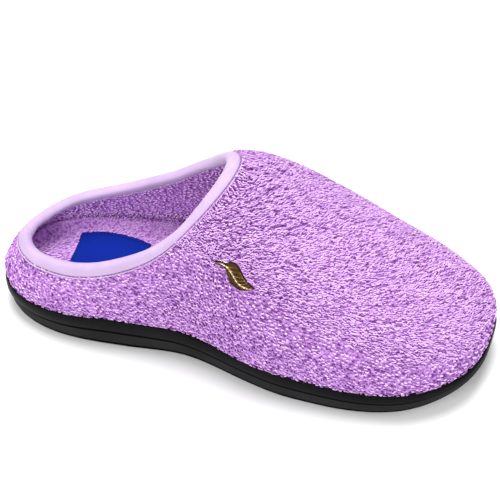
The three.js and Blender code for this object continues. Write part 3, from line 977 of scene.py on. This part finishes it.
class SlipperColours(bpy.types.PropertyGroup):
    """Colours of the slipper as the screen shows them, 0 to 255"""

    rubber_srgb: colour_setting("Rubber", "Sole", (29, 29, 30))
    # The pile's dark colour, which also paints the shade at the roots, in the troughs and in the
    # gaps.
    pile_dark_and_shade_srgb: colour_setting("Pile, Deep", "Root of the loops", (124, 50, 150))
    pile_srgb: colour_setting("Pile", "Body of the loops", (211, 160, 228))
    pile_light_srgb: colour_setting("Pile, Light", "Tip of the loops", (252, 218, 255))
    # A brighter copy of the pile's colour: painted light for the pile inside the shoe.
    pile_inside_painted_light_srgb: colour_setting("Pile, Inside", "Body of the loops inside", (236, 174, 255))
    tape_srgb: colour_setting("Tape", "Collar binding", (194, 169, 207))
    label_srgb: colour_setting("Label", "Woven patch", (8, 46, 174))
    brass_dark_srgb: colour_setting("Brass, Dark", "Hollows", (58, 42, 24))
    brass_srgb: colour_setting("Brass", "Body", (140, 112, 70))
    brass_worn_srgb: colour_setting("Brass, Worn", "Ridges", (236, 214, 170))


def settings():
    scene = bpy.context.scene
    return scene.slipper_sizes, scene.slipper_colours


# Sole

SOLE_AROUND = 288
# Grooves of the tread, in shares of the length and of the half width.
TREAD_LOOPS = table(
    "apex mouth widest at_mouth",
    (0.07, 0.42, 0.66, 0.3),
    (0.13, 0.37, 0.38, 0.18),
    (0.94, 0.56, 0.6, 0.52),
    (0.885, 0.6, 0.36, 0.3),
)
TREAD_BARS = table(
    "edge middle",
    (0.135, 0.155),
    (0.215, 0.235),
    (0.295, 0.315),
    (0.385, 0.4),
    (0.625, 0.565),
    (0.7, 0.64),
    (0.785, 0.725),
)
TREAD_SPOKES = table(
    "from_at from_side to_at to_side",
    (0.14, 0.3, 0.045, 0.72),
    (0.14, -0.3, 0.045, -0.72),
    (0.86, 0.3, 0.945, 0.72),
    (0.86, -0.3, 0.945, -0.72),
    (0.88, 0.0, 0.985, 0.0),
)
BAR_REACH = 0.84


def tread_point(at, side):
    x = (at - 0.5) * SOLE_LENGTH
    return np.stack([x, middle_y(x) + side * half_width(x)], -1)


def tread_paths():
    """Each groove's middle line in plan, and whether it tapers at its ends."""
    for apex, mouth, widest, at_mouth in zip(*TREAD_LOOPS.values()):
        angle = np.linspace(-math.pi / 2, math.pi / 2, 41)
        along = np.maximum(0, np.cos(angle)) ** 0.8
        width = widest + (at_mouth - widest) * (1 - along) ** 2
        side = np.sign(angle) * np.abs(np.sin(angle)) ** 0.8 * width
        yield tread_point(mouth + (apex - mouth) * along, side), False
    for edge, middle in zip(*TREAD_BARS.values()):
        side = np.linspace(-BAR_REACH, BAR_REACH, 17)
        yield tread_point(middle + (edge - middle) * (side / BAR_REACH) ** 2, side), True
    for from_at, from_side, to_at, to_side in zip(*TREAD_SPOKES.values()):
        yield tread_point(np.linspace(from_at, to_at, 9), np.linspace(from_side, to_side, 9)), True


def groove_cutter(number, path, tapered):
    """A channel that follows the tread along a path."""
    along = unit(np.gradient(path, axis=0))
    aside = np.stack([-along[:, 1], along[:, 0]], -1)
    run = np.linspace(0, 1, len(path))
    fade = np.interp(run, [0, 0.16, 0.84, 1], [0.3, 1, 1, 0.3]) if tapered else run * 0 + 1
    corners = np.array([(-1, -2.0), (1, -2.0), (0.75, 1.0), (-0.75, 1.0), (-1, -2.0)])

    def place(u, v):
        i = np.rint(u * (len(path) - 1)).astype(int)
        corner = corners[np.rint(v * 4).astype(int)]
        deep = np.where(corner[:, 1] > 0, GROOVE_DEPTH * fade[i], corner[:, 1])
        flat = path[i] + aside[i] * (corner[:, 0] * GROOVE_WIDTH / 2 * fade[i])[:, None]
        return np.column_stack([flat, bottom_z(path[i, 0]) + deep])

    piece = wrapped_grid(f"groove_{number}", len(path) - 1, 4, place)
    edit(piece, lambda: bpy.ops.mesh.fill_holes(sides=0), face_out)
    return piece


def sole_rows(turn):
    """Rings of the sole, from the middle of the tread up the side and down to the recess."""
    x = outline(turn)[:, 0]
    rings = []
    for step, up in zip(SIDE_STEPS["inset"], SIDE_STEPS["up"]):
        flat = inset(turn, step * RIM_WALL)
        low = bottom_z(flat[:, 0])
        rings.append(np.column_stack([flat, low + (rim_z(x) - low) * up]))
    deep = inset(turn, RIM_WALL)
    rings += [np.column_stack([deep, height(x)]) for height in (rim_z, floor_z)]

    def drawn(edge, share, height):
        flat = drawn_in(edge[:, :2], x, share)
        return np.column_stack([flat, height(flat[:, 0])])

    tread = [drawn(rings[0], share, bottom_z) for share in (0, 0.3, 0.6, 0.85)]
    floor = [drawn(rings[-1], share, floor_z) for share in (0.6, 0)]
    return np.array([*tread, *rings, *floor])


class SLIPPER_OT_sole(bpy.types.Operator):
    """Moulds the sole: its side bands, its recess and its grooved tread"""

    bl_idname = "slipper.sole"
    bl_label = "Sole"

    def execute(self, context):
        sizes, colours = settings()
        turn = np.arange(SOLE_AROUND) / SOLE_AROUND
        rows = sole_rows(turn)

        def place(u, v):
            j = np.rint(v * (len(rows) - 1)).astype(int)
            return rows[j, np.rint(u * SOLE_AROUND).astype(int) % SOLE_AROUND]

        sole = wrapped_grid("rubber_sole", SOLE_AROUND, len(rows) - 1, place)
        for number, path in enumerate(tread_paths()):
            cutter = groove_cutter(number, *path)
            modify(sole, "BOOLEAN", object=cutter, operation="DIFFERENCE", solver="EXACT")
            remove(cutter)
        edges = {"limit_method": "ANGLE", "angle_limit": math.radians(28)}
        modify(sole, "BEVEL", width=sizes.groove_bevel, segments=2, **edges)
        smooth(sole, 30)
        points = places(sole) / MM
        high, low = rim_z(points[:, 0]), bottom_z(points[:, 0])
        mark(sole, "up", np.clip((points[:, 2] - low) / (high - low), 0, 1))
        dress(sole, finish_of(rubber_finish, colours), "rubber", "outsole")
        return {"FINISHED"}


# Upper

# The ornament's outline: half width from the stem to the tip, as a share of the largest.
LEAF = table(
    "at half",
    (0.0, 0.1),
    (0.2, 0.16),
    (0.3, 0.6),
    (0.5, 1.0),
    (0.72, 0.8),
    (0.9, 0.36),
    (1.0, 0.06),
)
LEAF_LENGTH = 23.0
LEAF_WIDTH = 10.0
LEAF_BEND = 2.0
# Where the vamp's loops end and the toe's begin, in two meshes of like size.
TOE_FROM = 55


def leaf_frame():
    """Middle, direction, width direction and outward direction of the ornament's solid."""
    points = np.array([v.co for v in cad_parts["ornament"].data.vertices]) / MM
    _, _, axes = np.linalg.svd(points - points.mean(0), full_matrices=False)
    out = axes[2] * -np.sign(axes[2][1])
    run = points @ (axes[0] * np.sign(axes[0][0]))
    stem, tip = points[run.argmin()], points[run.argmax()]
    along = unit(tip - stem - out * ((tip - stem) @ out))
    return (stem + tip) / 2, along, np.cross(out, along), out


def leaf_place(points):
    """Where points are on the leaf: share of its length, how far aside, half width, height."""
    middle, along, across, out = leaf_frame()
    off = points - middle
    share = off @ along / LEAF_LENGTH + 0.5
    kept = np.clip(share, 0, 1)
    aside = off @ across - LEAF_BEND * np.sin(2 * math.pi * kept)
    return share, aside, through(LEAF, "half")(kept) * LEAF_WIDTH / 2, off @ out


def over_footbed(points):
    """How far points are above the footbed's top."""
    return points[:, 2] - footbed_z(points[:, 0], points[:, 1])


class SLIPPER_OT_upper(bpy.types.Operator):
    """Lays the upper's cloth, outside and lining, and its pile of loops"""

    bl_idname = "slipper.upper"
    bl_label = "Upper"

    def execute(self, context):
        sizes, colours = settings()
        cloth = wrapped_grid("upper_cloth", 240, 96, self.cloth)
        smooth(cloth)
        dress(cloth, finish_of(cloth_finish, colours), "terry", "upper")
        self.outer_loops(sizes, colours)
        self.lining_loops(sizes, colours)
        return {"FINISHED"}

    def cloth(self, u, v):
        """Up the outside and down the lining, with half the wall at the cut edges."""
        outer = v <= 0.5
        points, normals = skin.at(u, np.where(outer, v, 1 - v) * 2 * skin.last)
        deep = np.where((v == 0) | (v == 1), 0.5, np.where(outer, 0.0, 1.0))
        return points - normals * (WALL * deep)[:, None]

    def outer_loops(self, sizes, colours):
        def low(points, rows, turn):
            """Whether a place is low on the side or round the heel, where the pile is fuller."""
            level = skin.at(turn, rows)[1][:, 2] - np.clip((-10 - points[:, 0]) / 40, 0, 1)
            return level + 0.12 * noise_at(points, 6.0, 8.0) < 0.42

        def keep(points, rows, turn):
            share, aside, half, height = leaf_place(points)
            on_leaf = (np.abs(share - 0.5) < 0.53) & (np.abs(aside) < half + 0.6)
            on_leaf &= np.abs(height) < 6
            return skin.clear_of_tape(rows, turn, OUTER_TAPE) & ~on_leaf & (rows > 2.5)

        spacing = sizes.loop_spacing / MM
        spacings = spacing, spacing * SIDE_WIDER
        rows, turn, full = spread_in_zones(skin.points, keep, low, spacings, (7, 17))
        base, normal = skin.at(turn, rows)
        x, z = base[:, 0], base[:, 2]
        above = skin.at(turn, np.minimum(rows + 2, skin.last))[0] - skin.at(turn, rows - 2)[0]
        tape_rows = (skin.ROWS - 1) * OUTER_TAPE / 90
        near = np.clip(1 - (skin.last - rows - tape_rows) / 6, 0, 1)[:, None]
        nap = unit(self.nap(base, turn, rows)) * (1 - near) - unit(above) * near
        throat = np.exp(-(((x - 18) / 22) ** 2)) * np.clip(z / 90 - 0.3, 0, 1)
        heel_end = np.clip((-112 - x) / 16, 0, 1)
        at_rim = np.clip(1 - (rows - 3) / 9, 0, 1)
        taller = (1 + 1.1 * throat) * (1 - 0.35 * heel_end) * (1 - 0.3 * at_rim)
        finish = finish_of(pile_finish, "terry_pile", colours, 0.0)
        # Name, places, depth, light and fullness of each mesh of loops. The sides' greater depth
        # paints the stronger shade of grazing light there, with darker roots and troughs.
        zones = (
            ("upper_loops_side", full, 2.3, 0.6, SIDE_FULLER),
            ("upper_loops_vamp", ~full & (x < TOE_FROM), 1.0, 0.54),
            ("upper_loops_toe", ~full & (x >= TOE_FROM), 1.0, 0.54),
        )
        for seed, (name, there, *look) in enumerate(zones, 20):
            stand = (values[there] for values in (base, normal, nap, taller))
            dress(loops_on(name, *stand, sizes, seed, *look), finish, "terry")

    def nap(self, base, turn, rows):
        """Which way the pile lies: along the shoe low down, and slantwise over the vamp."""
        on_vamp = np.clip((base[:, 0] + 45) / 45, 0, 1)
        heading = np.radians(VAMP_SLANT) * np.clip((base[:, 1] + 47) / 45, 0, 1)
        vamp = np.column_stack([np.cos(heading), np.sin(heading), np.full(len(base), -0.1)])
        round_heel = unit(skin.at(turn + 0.004, rows)[0] - skin.at(turn - 0.004, rows)[0])
        round_heel *= np.where(turn < 0.5, 1, -1)[:, None]
        return vamp * on_vamp[:, None] + round_heel * (1 - on_vamp)[:, None]

    def lining_loops(self, sizes, colours):
        def keep(points, rows, turn):
            clear = skin.clear_of_tape(rows, turn, INNER_TAPE)
            return clear & (over_footbed(points) > -3) & (points[:, 0] < 34)

        def low(points, rows, turn):
            """Whether a place is right above the footbed, where the loops stand closer."""
            return over_footbed(points) < 3

        lining = skin.points - skin.normals * WALL
        spacing = sizes.loop_spacing / MM
        spacings = spacing * 1.15 * SIDE_WIDER, spacing * 1.6
        rows, turn, _ = spread_in_zones(lining, keep, low, spacings, (8, 18))
        base, normal = skin.at(turn, rows)
        stand = base - normal * WALL, -normal, np.tile([0.75, 0.0, 0.66], (len(base), 1)), 1.0
        # Painted light: the lining's loops are lighter, against the shade inside the shoe.
        loops = loops_on("lining_loops", *stand, sizes, 31, 1.4, 0.85, 1.15 * SIDE_FULLER)
        dress(loops, finish_of(pile_finish, "lining_pile", colours, 1.0), "terry")


# Footbed

LABEL_MIDDLE = -SOLE_LENGTH / 2 + LABEL_BACK + LABEL_LENGTH / 2


def label_half(along):
    """Half the label's width, from how far along its middle a place is."""
    return LABEL_WIDTH / 2 + LABEL_BOW * (1 - (2 * along / LABEL_LENGTH) ** 2)


FOOTBED_AROUND = 360
FOOTBED_ROWS = 60
# How far the footbed's loops reach under the label, and how far into the toe.
UNDER_LABEL = 0.4
FOOTBED_PILE_TO = 60


class SLIPPER_OT_footbed(bpy.types.Operator):
    """Pads the footbed and gives it its pile"""

    bl_idname = "slipper.footbed"
    bl_label = "Footbed"

    def execute(self, context):
        sizes, colours = settings()
        pad = cad_copy("footbed", "padded_footbed")
        modify(pad, "SUBSURF", levels=2, render_levels=2)
        smooth(pad)
        dress(pad, finish_of(cloth_finish, colours), "footbed_terry", "footbed")
        self.loops(sizes, colours)
        return {"FINISHED"}

    def loops(self, sizes, colours):
        turn = np.arange(FOOTBED_AROUND) / FOOTBED_AROUND
        edge = inset(turn, RIM_WALL + WALL + 2 * CLEARANCE + 0.2)
        flat = drawn_in(edge, edge[:, 0], np.linspace(1, 0, FOOTBED_ROWS)[:, None, None])
        grid = np.concatenate([flat, footbed_z(flat[..., 0], flat[..., 1])[..., None]], -1)

        def keep(points, rows, turn):
            along = points[:, 0] - LABEL_MIDDLE
            across = np.abs(points[:, 1] - AXIS_Y) < label_half(along) - UNDER_LABEL
            on_label = across & (np.abs(along) < LABEL_LENGTH / 2 - UNDER_LABEL)
            return ~on_label & (points[:, 0] < FOOTBED_PILE_TO)

        rows, turn = spread(grid, sizes.footbed_spacing / MM, keep, 9)
        base, normal = sampled(grid, turn, rows), unit(sampled(normals_of(grid), turn, rows))
        rim = np.clip(1.2 - rows / 3, 0, 1)
        outward = unit(sampled(grid, turn, 0 * rows) - sampled(grid, turn, 0 * rows + 5))
        nap = np.array([0.9, 0.4, 0.0]) * (1 - rim)[:, None] + outward * rim[:, None]
        # Painted shade: the loops at the footbed's edge, in the corner against the lining, are
        # darker.
        stand, light = (base, normal, nap, 0.75 + 0.2 * rim), 0.85 - 0.6 * rim
        loops = loops_on("footbed_loops", *stand, sizes, 41, 1.3, light)
        # Painted light: the footbed's loops go partway to the brighter inside colour.
        dress(loops, finish_of(pile_finish, "footbed_pile", colours, 0.6), "footbed_terry")


# Collar tape

# Cross-section of the tape on the outside: distance under the collar's edge and how far it
# stands off the cloth. The dip holds the stitches.
TAPE_OUTSIDE = table(
    "down off",
    (5.4, -0.6),
    (5.75, 0.3),
    (5.8, 0.9),
    (5.55, 1.2),
    (5.15, 1.15),
    (4.85, 0.7),
    (4.6, 0.66),
    (4.3, 0.95),
    (3.6, 1.3),
    (2.6, 1.55),
    (1.4, 1.65),
    (0.5, 1.6),
)
# The same inside, from the fold down to the inner hem.
TAPE_INSIDE = table(
    "down off",
    (0.5, 1.5),
    (1.4, 1.45),
    (2.2, 1.2),
    (2.9, 0.7),
    (3.15, 0.66),
    (3.4, 0.95),
    (3.75, 0.9),
    (3.85, 0.5),
    (3.6, -0.5),
)
FOLD_STEPS = 9
TAPE_RINGS = len(TAPE_OUTSIDE["down"]) + FOLD_STEPS + len(TAPE_INSIDE["down"])
TAPE_AROUND = 480
# The ring that holds the stitches, and how far round the tape's section it is.
STITCH_RING = 6
SEAM = STITCH_RING / TAPE_RINGS
# Colour of the thread as the screen shows it, and the length of a stitch.
TAPE_THREAD = (170, 134, 188)
TAPE_STITCH = 2.0


def tape_rows(turn):
    """Rings of the tape from its outer hem over the collar's edge to its inner hem."""

    def hems(rows, first, way):
        for down, off in zip(rows["down"], rows["off"]):
            point, normal = skin.below_collar(turn, down)
            yield point + normal * way * (first + off)

    edge, normal = skin.below_collar(turn, 0.0)
    up = unit(edge - skin.below_collar(turn, 1.5)[0])
    fold = []
    for angle in np.linspace(0, math.pi, FOLD_STEPS):
        wide = WALL / 2 + (1.5 if angle < math.pi / 2 else 1.4)
        aside = wide * math.cos(angle) - WALL / 2
        fold.append(edge + normal * aside + up * 2.2 * math.sin(angle))
    return np.array([*hems(TAPE_OUTSIDE, 0, 1), *fold, *hems(TAPE_INSIDE, WALL, -1)])


def stitch_shape(radius, length):
    """One stitch: a short thread that bends down at both ends."""
    cylinder, lying = bpy.ops.mesh.primitive_cylinder_add, (0, math.pi / 2, 0)
    stitch = added(cylinder, vertices=6, radius=radius, depth=length, rotation=lying)
    bpy.ops.object.transform_apply(rotation=True)
    for cut in (-0.3 * length, 0.0, 0.3 * length):
        edit(stitch, lambda: bpy.ops.mesh.bisect(plane_co=(cut, 0, 0), plane_no=(1, 0, 0)))
    points = places(stitch)
    ends = np.abs(points[:, 0]) / (length / 2)
    points[:, 1:] *= (1 - 0.45 * ends**3)[:, None]
    points[:, 2] -= radius * 1.6 * ends**2.5
    move_to(stitch, points)
    return stitch


def stitches_along(name, points, normals, pitch, radius, length):
    """Stitches along a closed or open line of points, all in mm."""
    steps = np.linalg.norm(np.diff(points, axis=0), axis=1)
    run = np.append(0, steps.cumsum())
    count = int(run[-1] / pitch)
    at = (np.arange(count) + 0.5) * run[-1] / count

    def pick(values, where):
        return np.stack([np.interp(where, run, column) for column in values.T], -1)

    along = unit(pick(points, at + 0.3) - pick(points, at - 0.3))
    side = unit(np.cross(unit(pick(normals, at)), along))
    axes = np.stack([along, side, np.cross(along, side)], 1)
    stitch = stitch_shape(radius * MM, length * MM)
    piece = joined(name, places(stitch) @ axes + pick(points, at)[:, None] * MM, stitch)
    remove(stitch)
    return piece


class SLIPPER_OT_collar_tape(bpy.types.Operator):
    """Folds the tape over the collar's edge and stitches it down"""

    bl_idname = "slipper.collar_tape"
    bl_label = "Collar Tape"

    def execute(self, context):
        sizes, colours = settings()
        turn = np.arange(TAPE_AROUND) / TAPE_AROUND
        rows = tape_rows(turn)
        rows = rows + self.puckers(rows, turn)

        def place(u, v):
            j = np.rint(v * TAPE_RINGS).astype(int) % TAPE_RINGS
            return rows[j, np.rint(u * TAPE_AROUND).astype(int) % TAPE_AROUND]

        tape = wrapped_grid("collar_tape", TAPE_AROUND, TAPE_RINGS, place)
        modify(tape, "SUBSURF", levels=1, render_levels=1)
        smooth(tape)
        dress(tape, finish_of(tape_finish, colours), "satin_tape", "collar_binding")
        normals = normals_of(rows)[STITCH_RING]
        line = rows[STITCH_RING] + normals * 0.05
        line, normals = (np.vstack([ring, ring[:1]]) for ring in (line, normals))
        pitch, radius = sizes.stitch_pitch / MM, sizes.stitch_radius / MM
        thread = stitches_along("tape_stitches", line, normals, pitch, radius, TAPE_STITCH)
        dress(thread, finish_of(thread_finish, "tape_thread", TAPE_THREAD), "satin_tape")
        return {"FINISHED"}

    def puckers(self, rows, turn):
        """Small pulls across the tape, stronger round the tight back, and its lapped end."""
        mid = rows[len(rows) // 2]
        run = np.linalg.norm(np.roll(mid, -1, axis=0) - mid, axis=1).cumsum()
        across = np.linspace(-1, 1, len(rows))[:, None]

        def waves(pitch, twist, offset):
            places = [[(s / pitch, a * twist, offset) for s in run] for a in across[:, 0]]
            return noise_at(np.array(places).reshape(-1, 3), 1.0).reshape(len(rows), -1)

        back = np.exp(-((np.minimum(turn, 1 - turn) / 0.1) ** 2))
        inner = back * (0.5 + 0.5 * np.clip(across * 2, -1, 1))
        depth = (0.12 + 0.45 * inner) * waves(4.2, 1.1, 3.0)
        depth += (0.05 + 0.16 * inner) * waves(1.7, 2.0, 9.0)
        lap = np.where(turn > 0.5, turn - 1, turn) - 0.012 * across + 0.012
        step = 0.35 / (1 + np.exp(-lap * 900)) * np.exp(-np.maximum(lap, 0) * 45)
        hems = 1 - np.abs(across) ** 4
        return normals_of(rows) * ((depth + step) * hems)[..., None]


# Label

# How high the patch lies over the solids' gap, how its hem swells, and where its stitches run.
PATCH_RISE = 0.7
HEM_RISE = 0.22
HEM_INSET = 1.1
PATCH_THICKNESS = 0.6
PATCH_THREAD = (8, 26, 110)
# Pitch, radius and length of the patch's stitches.
PATCH_STITCHES = (2.1, 0.16, 1.6)


def patch_z(x, y):
    return footbed_z(x, y) + CLEARANCE + PATCH_RISE


class SLIPPER_OT_label(bpy.types.Operator):
    """Lays the woven patch on the footbed and sews its edges down"""

    bl_idname = "slipper.label"
    bl_label = "Label"

    def execute(self, context):
        colours = settings()[1]

        def place(u, v):
            along = (u - 0.5) * LABEL_LENGTH
            half = label_half(along)
            x, y = LABEL_MIDDLE + along, AXIS_Y + (v - 0.5) * 2 * half
            to_sides, to_ends = np.minimum(v, 1 - v) * 2 * half, np.minimum(u, 1 - u)
            edge = np.minimum(to_sides, to_ends * LABEL_LENGTH)
            hem = HEM_RISE * np.clip(1 - np.abs(edge - 1.2) / 1.6, 0, 1)
            drop = 0.35 * np.clip(1 - edge / 0.6, 0, 1) ** 2
            quilt = 0.1 * noise_at(np.stack([x, y, 0 * x], -1), 7.0, 2.0)
            return np.stack([x, y, patch_z(x, y) + hem - drop + quilt], -1)

        patch = wrapped_grid("woven_patch", 64, 64, place)
        modify(patch, "SOLIDIFY", thickness=PATCH_THICKNESS * MM, offset=-1)
        smooth(patch, 50)
        x, y, _ = (places(patch) / MM - (LABEL_MIDDLE, AXIS_Y, 0)).T
        edge = np.minimum(LABEL_LENGTH / 2 - np.abs(x), label_half(x) - np.abs(y))
        mark(patch, "hem", np.exp(-(((edge - HEM_INSET) / 0.6) ** 2)))
        dress(patch, finish_of(label_finish, colours), "woven_label", "heel_label")
        thread = self.stitch()
        dress(thread, finish_of(thread_finish, "blue_thread", PATCH_THREAD), "woven_label")
        return {"FINISHED"}

    def stitch(self):
        corners = np.array([(-1, -1), (1, -1), (1, 1), (-1, 1), (-1, -1)])
        sides = [np.linspace(p, q, 40, endpoint=False) for p, q in zip(corners, corners[1:])]
        u, v = np.concatenate(sides).T
        along = u * (LABEL_LENGTH / 2 - HEM_INSET)
        x, y = LABEL_MIDDLE + along, AXIS_Y + v * (label_half(along) - HEM_INSET)
        points = np.stack([x, y, patch_z(x, y) + HEM_RISE], -1)
        up = np.tile([0.0, 0.0, 1.0], (len(points), 1))
        return stitches_along("patch_stitches", points, up, *PATCH_STITCHES)


# Leaf ornament

RIB_WIDTH = 0.45
VEIN_PITCH = 2.3
VEIN_SLANT = 1.2
# How far the ribs, veins and rim stand up from the leaf's hollows, and how far those are sunk.
RELIEF = 0.75
SUNK = 0.3


class SLIPPER_OT_leaf(bpy.types.Operator):
    """Casts the brass leaf with its midrib, veins and beaded edge"""

    bl_idname = "slipper.leaf"
    bl_label = "Leaf"

    def execute(self, context):
        colours = settings()[1]
        leaf = cad_copy("ornament", "brass_leaf")
        modify(leaf, "SUBSURF", levels=3, render_levels=3)
        points = places(leaf) / MM
        share, aside, half, height = leaf_place(points)
        reach = np.clip(np.abs(aside) / np.maximum(half, 0.3), 0, 1)
        face = np.clip((height - np.median(height)) / 0.8, 0, 1)
        rib = np.exp(-((aside / RIB_WIDTH) ** 2))
        rim = np.exp(-(((reach - 0.86) / 0.12) ** 2))
        slant = share * LEAF_LENGTH - VEIN_SLANT * np.abs(aside)
        vein = 0.5 + 0.5 * np.cos(2 * math.pi * slant / VEIN_PITCH)
        blade = np.clip((share - 0.26) / 0.06, 0, 1)
        relief = np.clip(0.8 * rib + 0.6 * rim * blade + 0.4 * vein**3 * blade, 0, 1)
        points += leaf_frame()[3] * ((RELIEF * relief - SUNK) * face)[:, None]
        move_to(leaf, points * MM)
        smooth(leaf)
        mark(leaf, "relief", relief * face)
        dress(leaf, finish_of(brass_finish, colours), "antique_brass", "ornament")
        return {"FINISHED"}


# Stage

# Where the camera stands: degrees round the shoe, above the floor and of roll, and mm from
# the point that it looks at.
AZIMUTH, ELEVATION, ROLL = (math.radians(angle) for angle in (29.12, 47.17, -12.82))
DISTANCE = 701.65
AIM = (0, -1.9, 38.0)
# The lens in pixels of the picture, and where the point that it looks at is seen.
FOCAL_PIXELS = 1378.72
PICTURE = 500
AIM_PIXEL = (231.69, 266.92)
# Softboxes: place and size in metres, and watts. They face LIT, a little above the floor.
SOFTBOXES = {
    "top_softbox": ((0.1, 0.3, 1.45), 0.8, 25),
    "side_softbox": ((1.2, -0.1, 0.9), 0.8, 5),
    "front_softbox": ((-0.35, -1.15, 0.75), 0.7, 10),
}
LIT = Vector((0, 0, 0.03))
SKY = 0.5
FLOOR_RADIUS = 6
FLOOR_COLOUR = (0.92, 0.92, 0.92, 1)
SENSOR = 36


class SLIPPER_OT_stage(bpy.types.Operator):
    """Sets the pale floor, the soft light and the camera"""

    bl_idname = "slipper.stage"
    bl_label = "Stage"

    def execute(self, context):
        self.floor()
        self.light()
        self.camera()
        return {"FINISHED"}

    def floor(self):
        circle = bpy.ops.mesh.primitive_circle_add
        floor = added(circle, vertices=96, radius=FLOOR_RADIUS, fill_type="NGON")
        floor.name = "studio_floor"
        looks = {"Base_Color": FLOOR_COLOUR, "Roughness": 0.9, "Specular_IOR_Level": 0.1}
        floor.data.materials.append(Finish("pale_floor", **looks).material)
        floor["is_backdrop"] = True

    def light(self):
        world = bpy.data.worlds.new("studio")
        world.use_nodes = True
        bpy.context.scene.world = world
        sky = world.node_tree.nodes["Background"]
        sky.inputs["Color"].default_value = (1, 1, 1, 1)
        sky.inputs["Strength"].default_value = SKY
        for name, (place, size, energy) in SOFTBOXES.items():
            light = bpy.data.lights.new(name, "AREA")
            light.shape, light.size, light.energy = "DISK", size, energy
            lamp = bpy.data.objects.new(name, light)
            bpy.context.scene.collection.objects.link(lamp)
            lamp.location = place
            lamp.rotation_euler = (LIT - lamp.location).to_track_quat("-Z", "Y").to_euler()
        bpy.context.scene.view_settings.view_transform = "Standard"

    def camera(self):
        level = Vector((math.cos(AZIMUTH), math.sin(AZIMUTH), 0))
        away = Vector((math.sin(AZIMUTH), -math.cos(AZIMUTH), 0))
        back = away * math.cos(ELEVATION) + Vector((0, 0, math.sin(ELEVATION)))
        upright = back.cross(level)
        right = math.cos(ROLL) * level + math.sin(ROLL) * upright
        up = math.cos(ROLL) * upright - math.sin(ROLL) * level
        data = bpy.data.cameras.new("studio_camera")
        data.sensor_width, data.lens = SENSOR, FOCAL_PIXELS / PICTURE * SENSOR
        data.shift_x = 0.5 - AIM_PIXEL[0] / PICTURE
        data.shift_y = AIM_PIXEL[1] / PICTURE - 0.5
        data.clip_start, data.clip_end = 0.05, 20
        camera = bpy.data.objects.new("studio_camera", data)
        bpy.context.scene.collection.objects.link(camera)
        camera.matrix_world = Matrix((right, up, back)).transposed().to_4x4()
        camera.location = (Vector(AIM) + back * DISTANCE) * MM
        bpy.context.scene.camera = camera


class SLIPPER_PT_panel(bpy.types.Panel):
    """Sizes, colours and steps of the slipper"""

    bl_idname = "SLIPPER_PT_panel"
    bl_label = "Terry Slipper"
    bl_space_type = "VIEW_3D"
    bl_region_type = "UI"
    bl_category = "Slipper"

    def draw(self, context):
        for group in (context.scene.slipper_sizes, context.scene.slipper_colours):
            box = self.layout.box()
            for name in group.bl_rna.properties.keys():
                if name not in ("rna_type", "name"):
                    box.prop(group, name)
        for operator in OPERATORS:
            self.layout.operator(operator.bl_idname)


OPERATORS = (
    SLIPPER_OT_sole,
    SLIPPER_OT_upper,
    SLIPPER_OT_footbed,
    SLIPPER_OT_collar_tape,
    SLIPPER_OT_label,
    SLIPPER_OT_leaf,
    SLIPPER_OT_stage,
)
CLASSES = (SlipperSizes, SlipperColours, *OPERATORS, SLIPPER_PT_panel)


def register():
    for one in CLASSES:
        bpy.utils.register_class(one)
    bpy.types.Scene.slipper_sizes = bpy.props.PointerProperty(type=SlipperSizes)
    bpy.types.Scene.slipper_colours = bpy.props.PointerProperty(type=SlipperColours)


def unregister():
    del bpy.types.Scene.slipper_colours
    del bpy.types.Scene.slipper_sizes
    for one in reversed(CLASSES):
        bpy.utils.unregister_class(one)


def main():
    register()
    bpy.ops.slipper.sole()
    bpy.ops.slipper.upper()
    bpy.ops.slipper.footbed()
    bpy.ops.slipper.collar_tape()
    bpy.ops.slipper.label()
    bpy.ops.slipper.leaf()
    bpy.ops.slipper.stage()
    corners = {"cad": cad_box, "visual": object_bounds()}
    {name: [list(c) for c in box] for name, box in corners.items()}


if __name__ == "__main__":
    main()
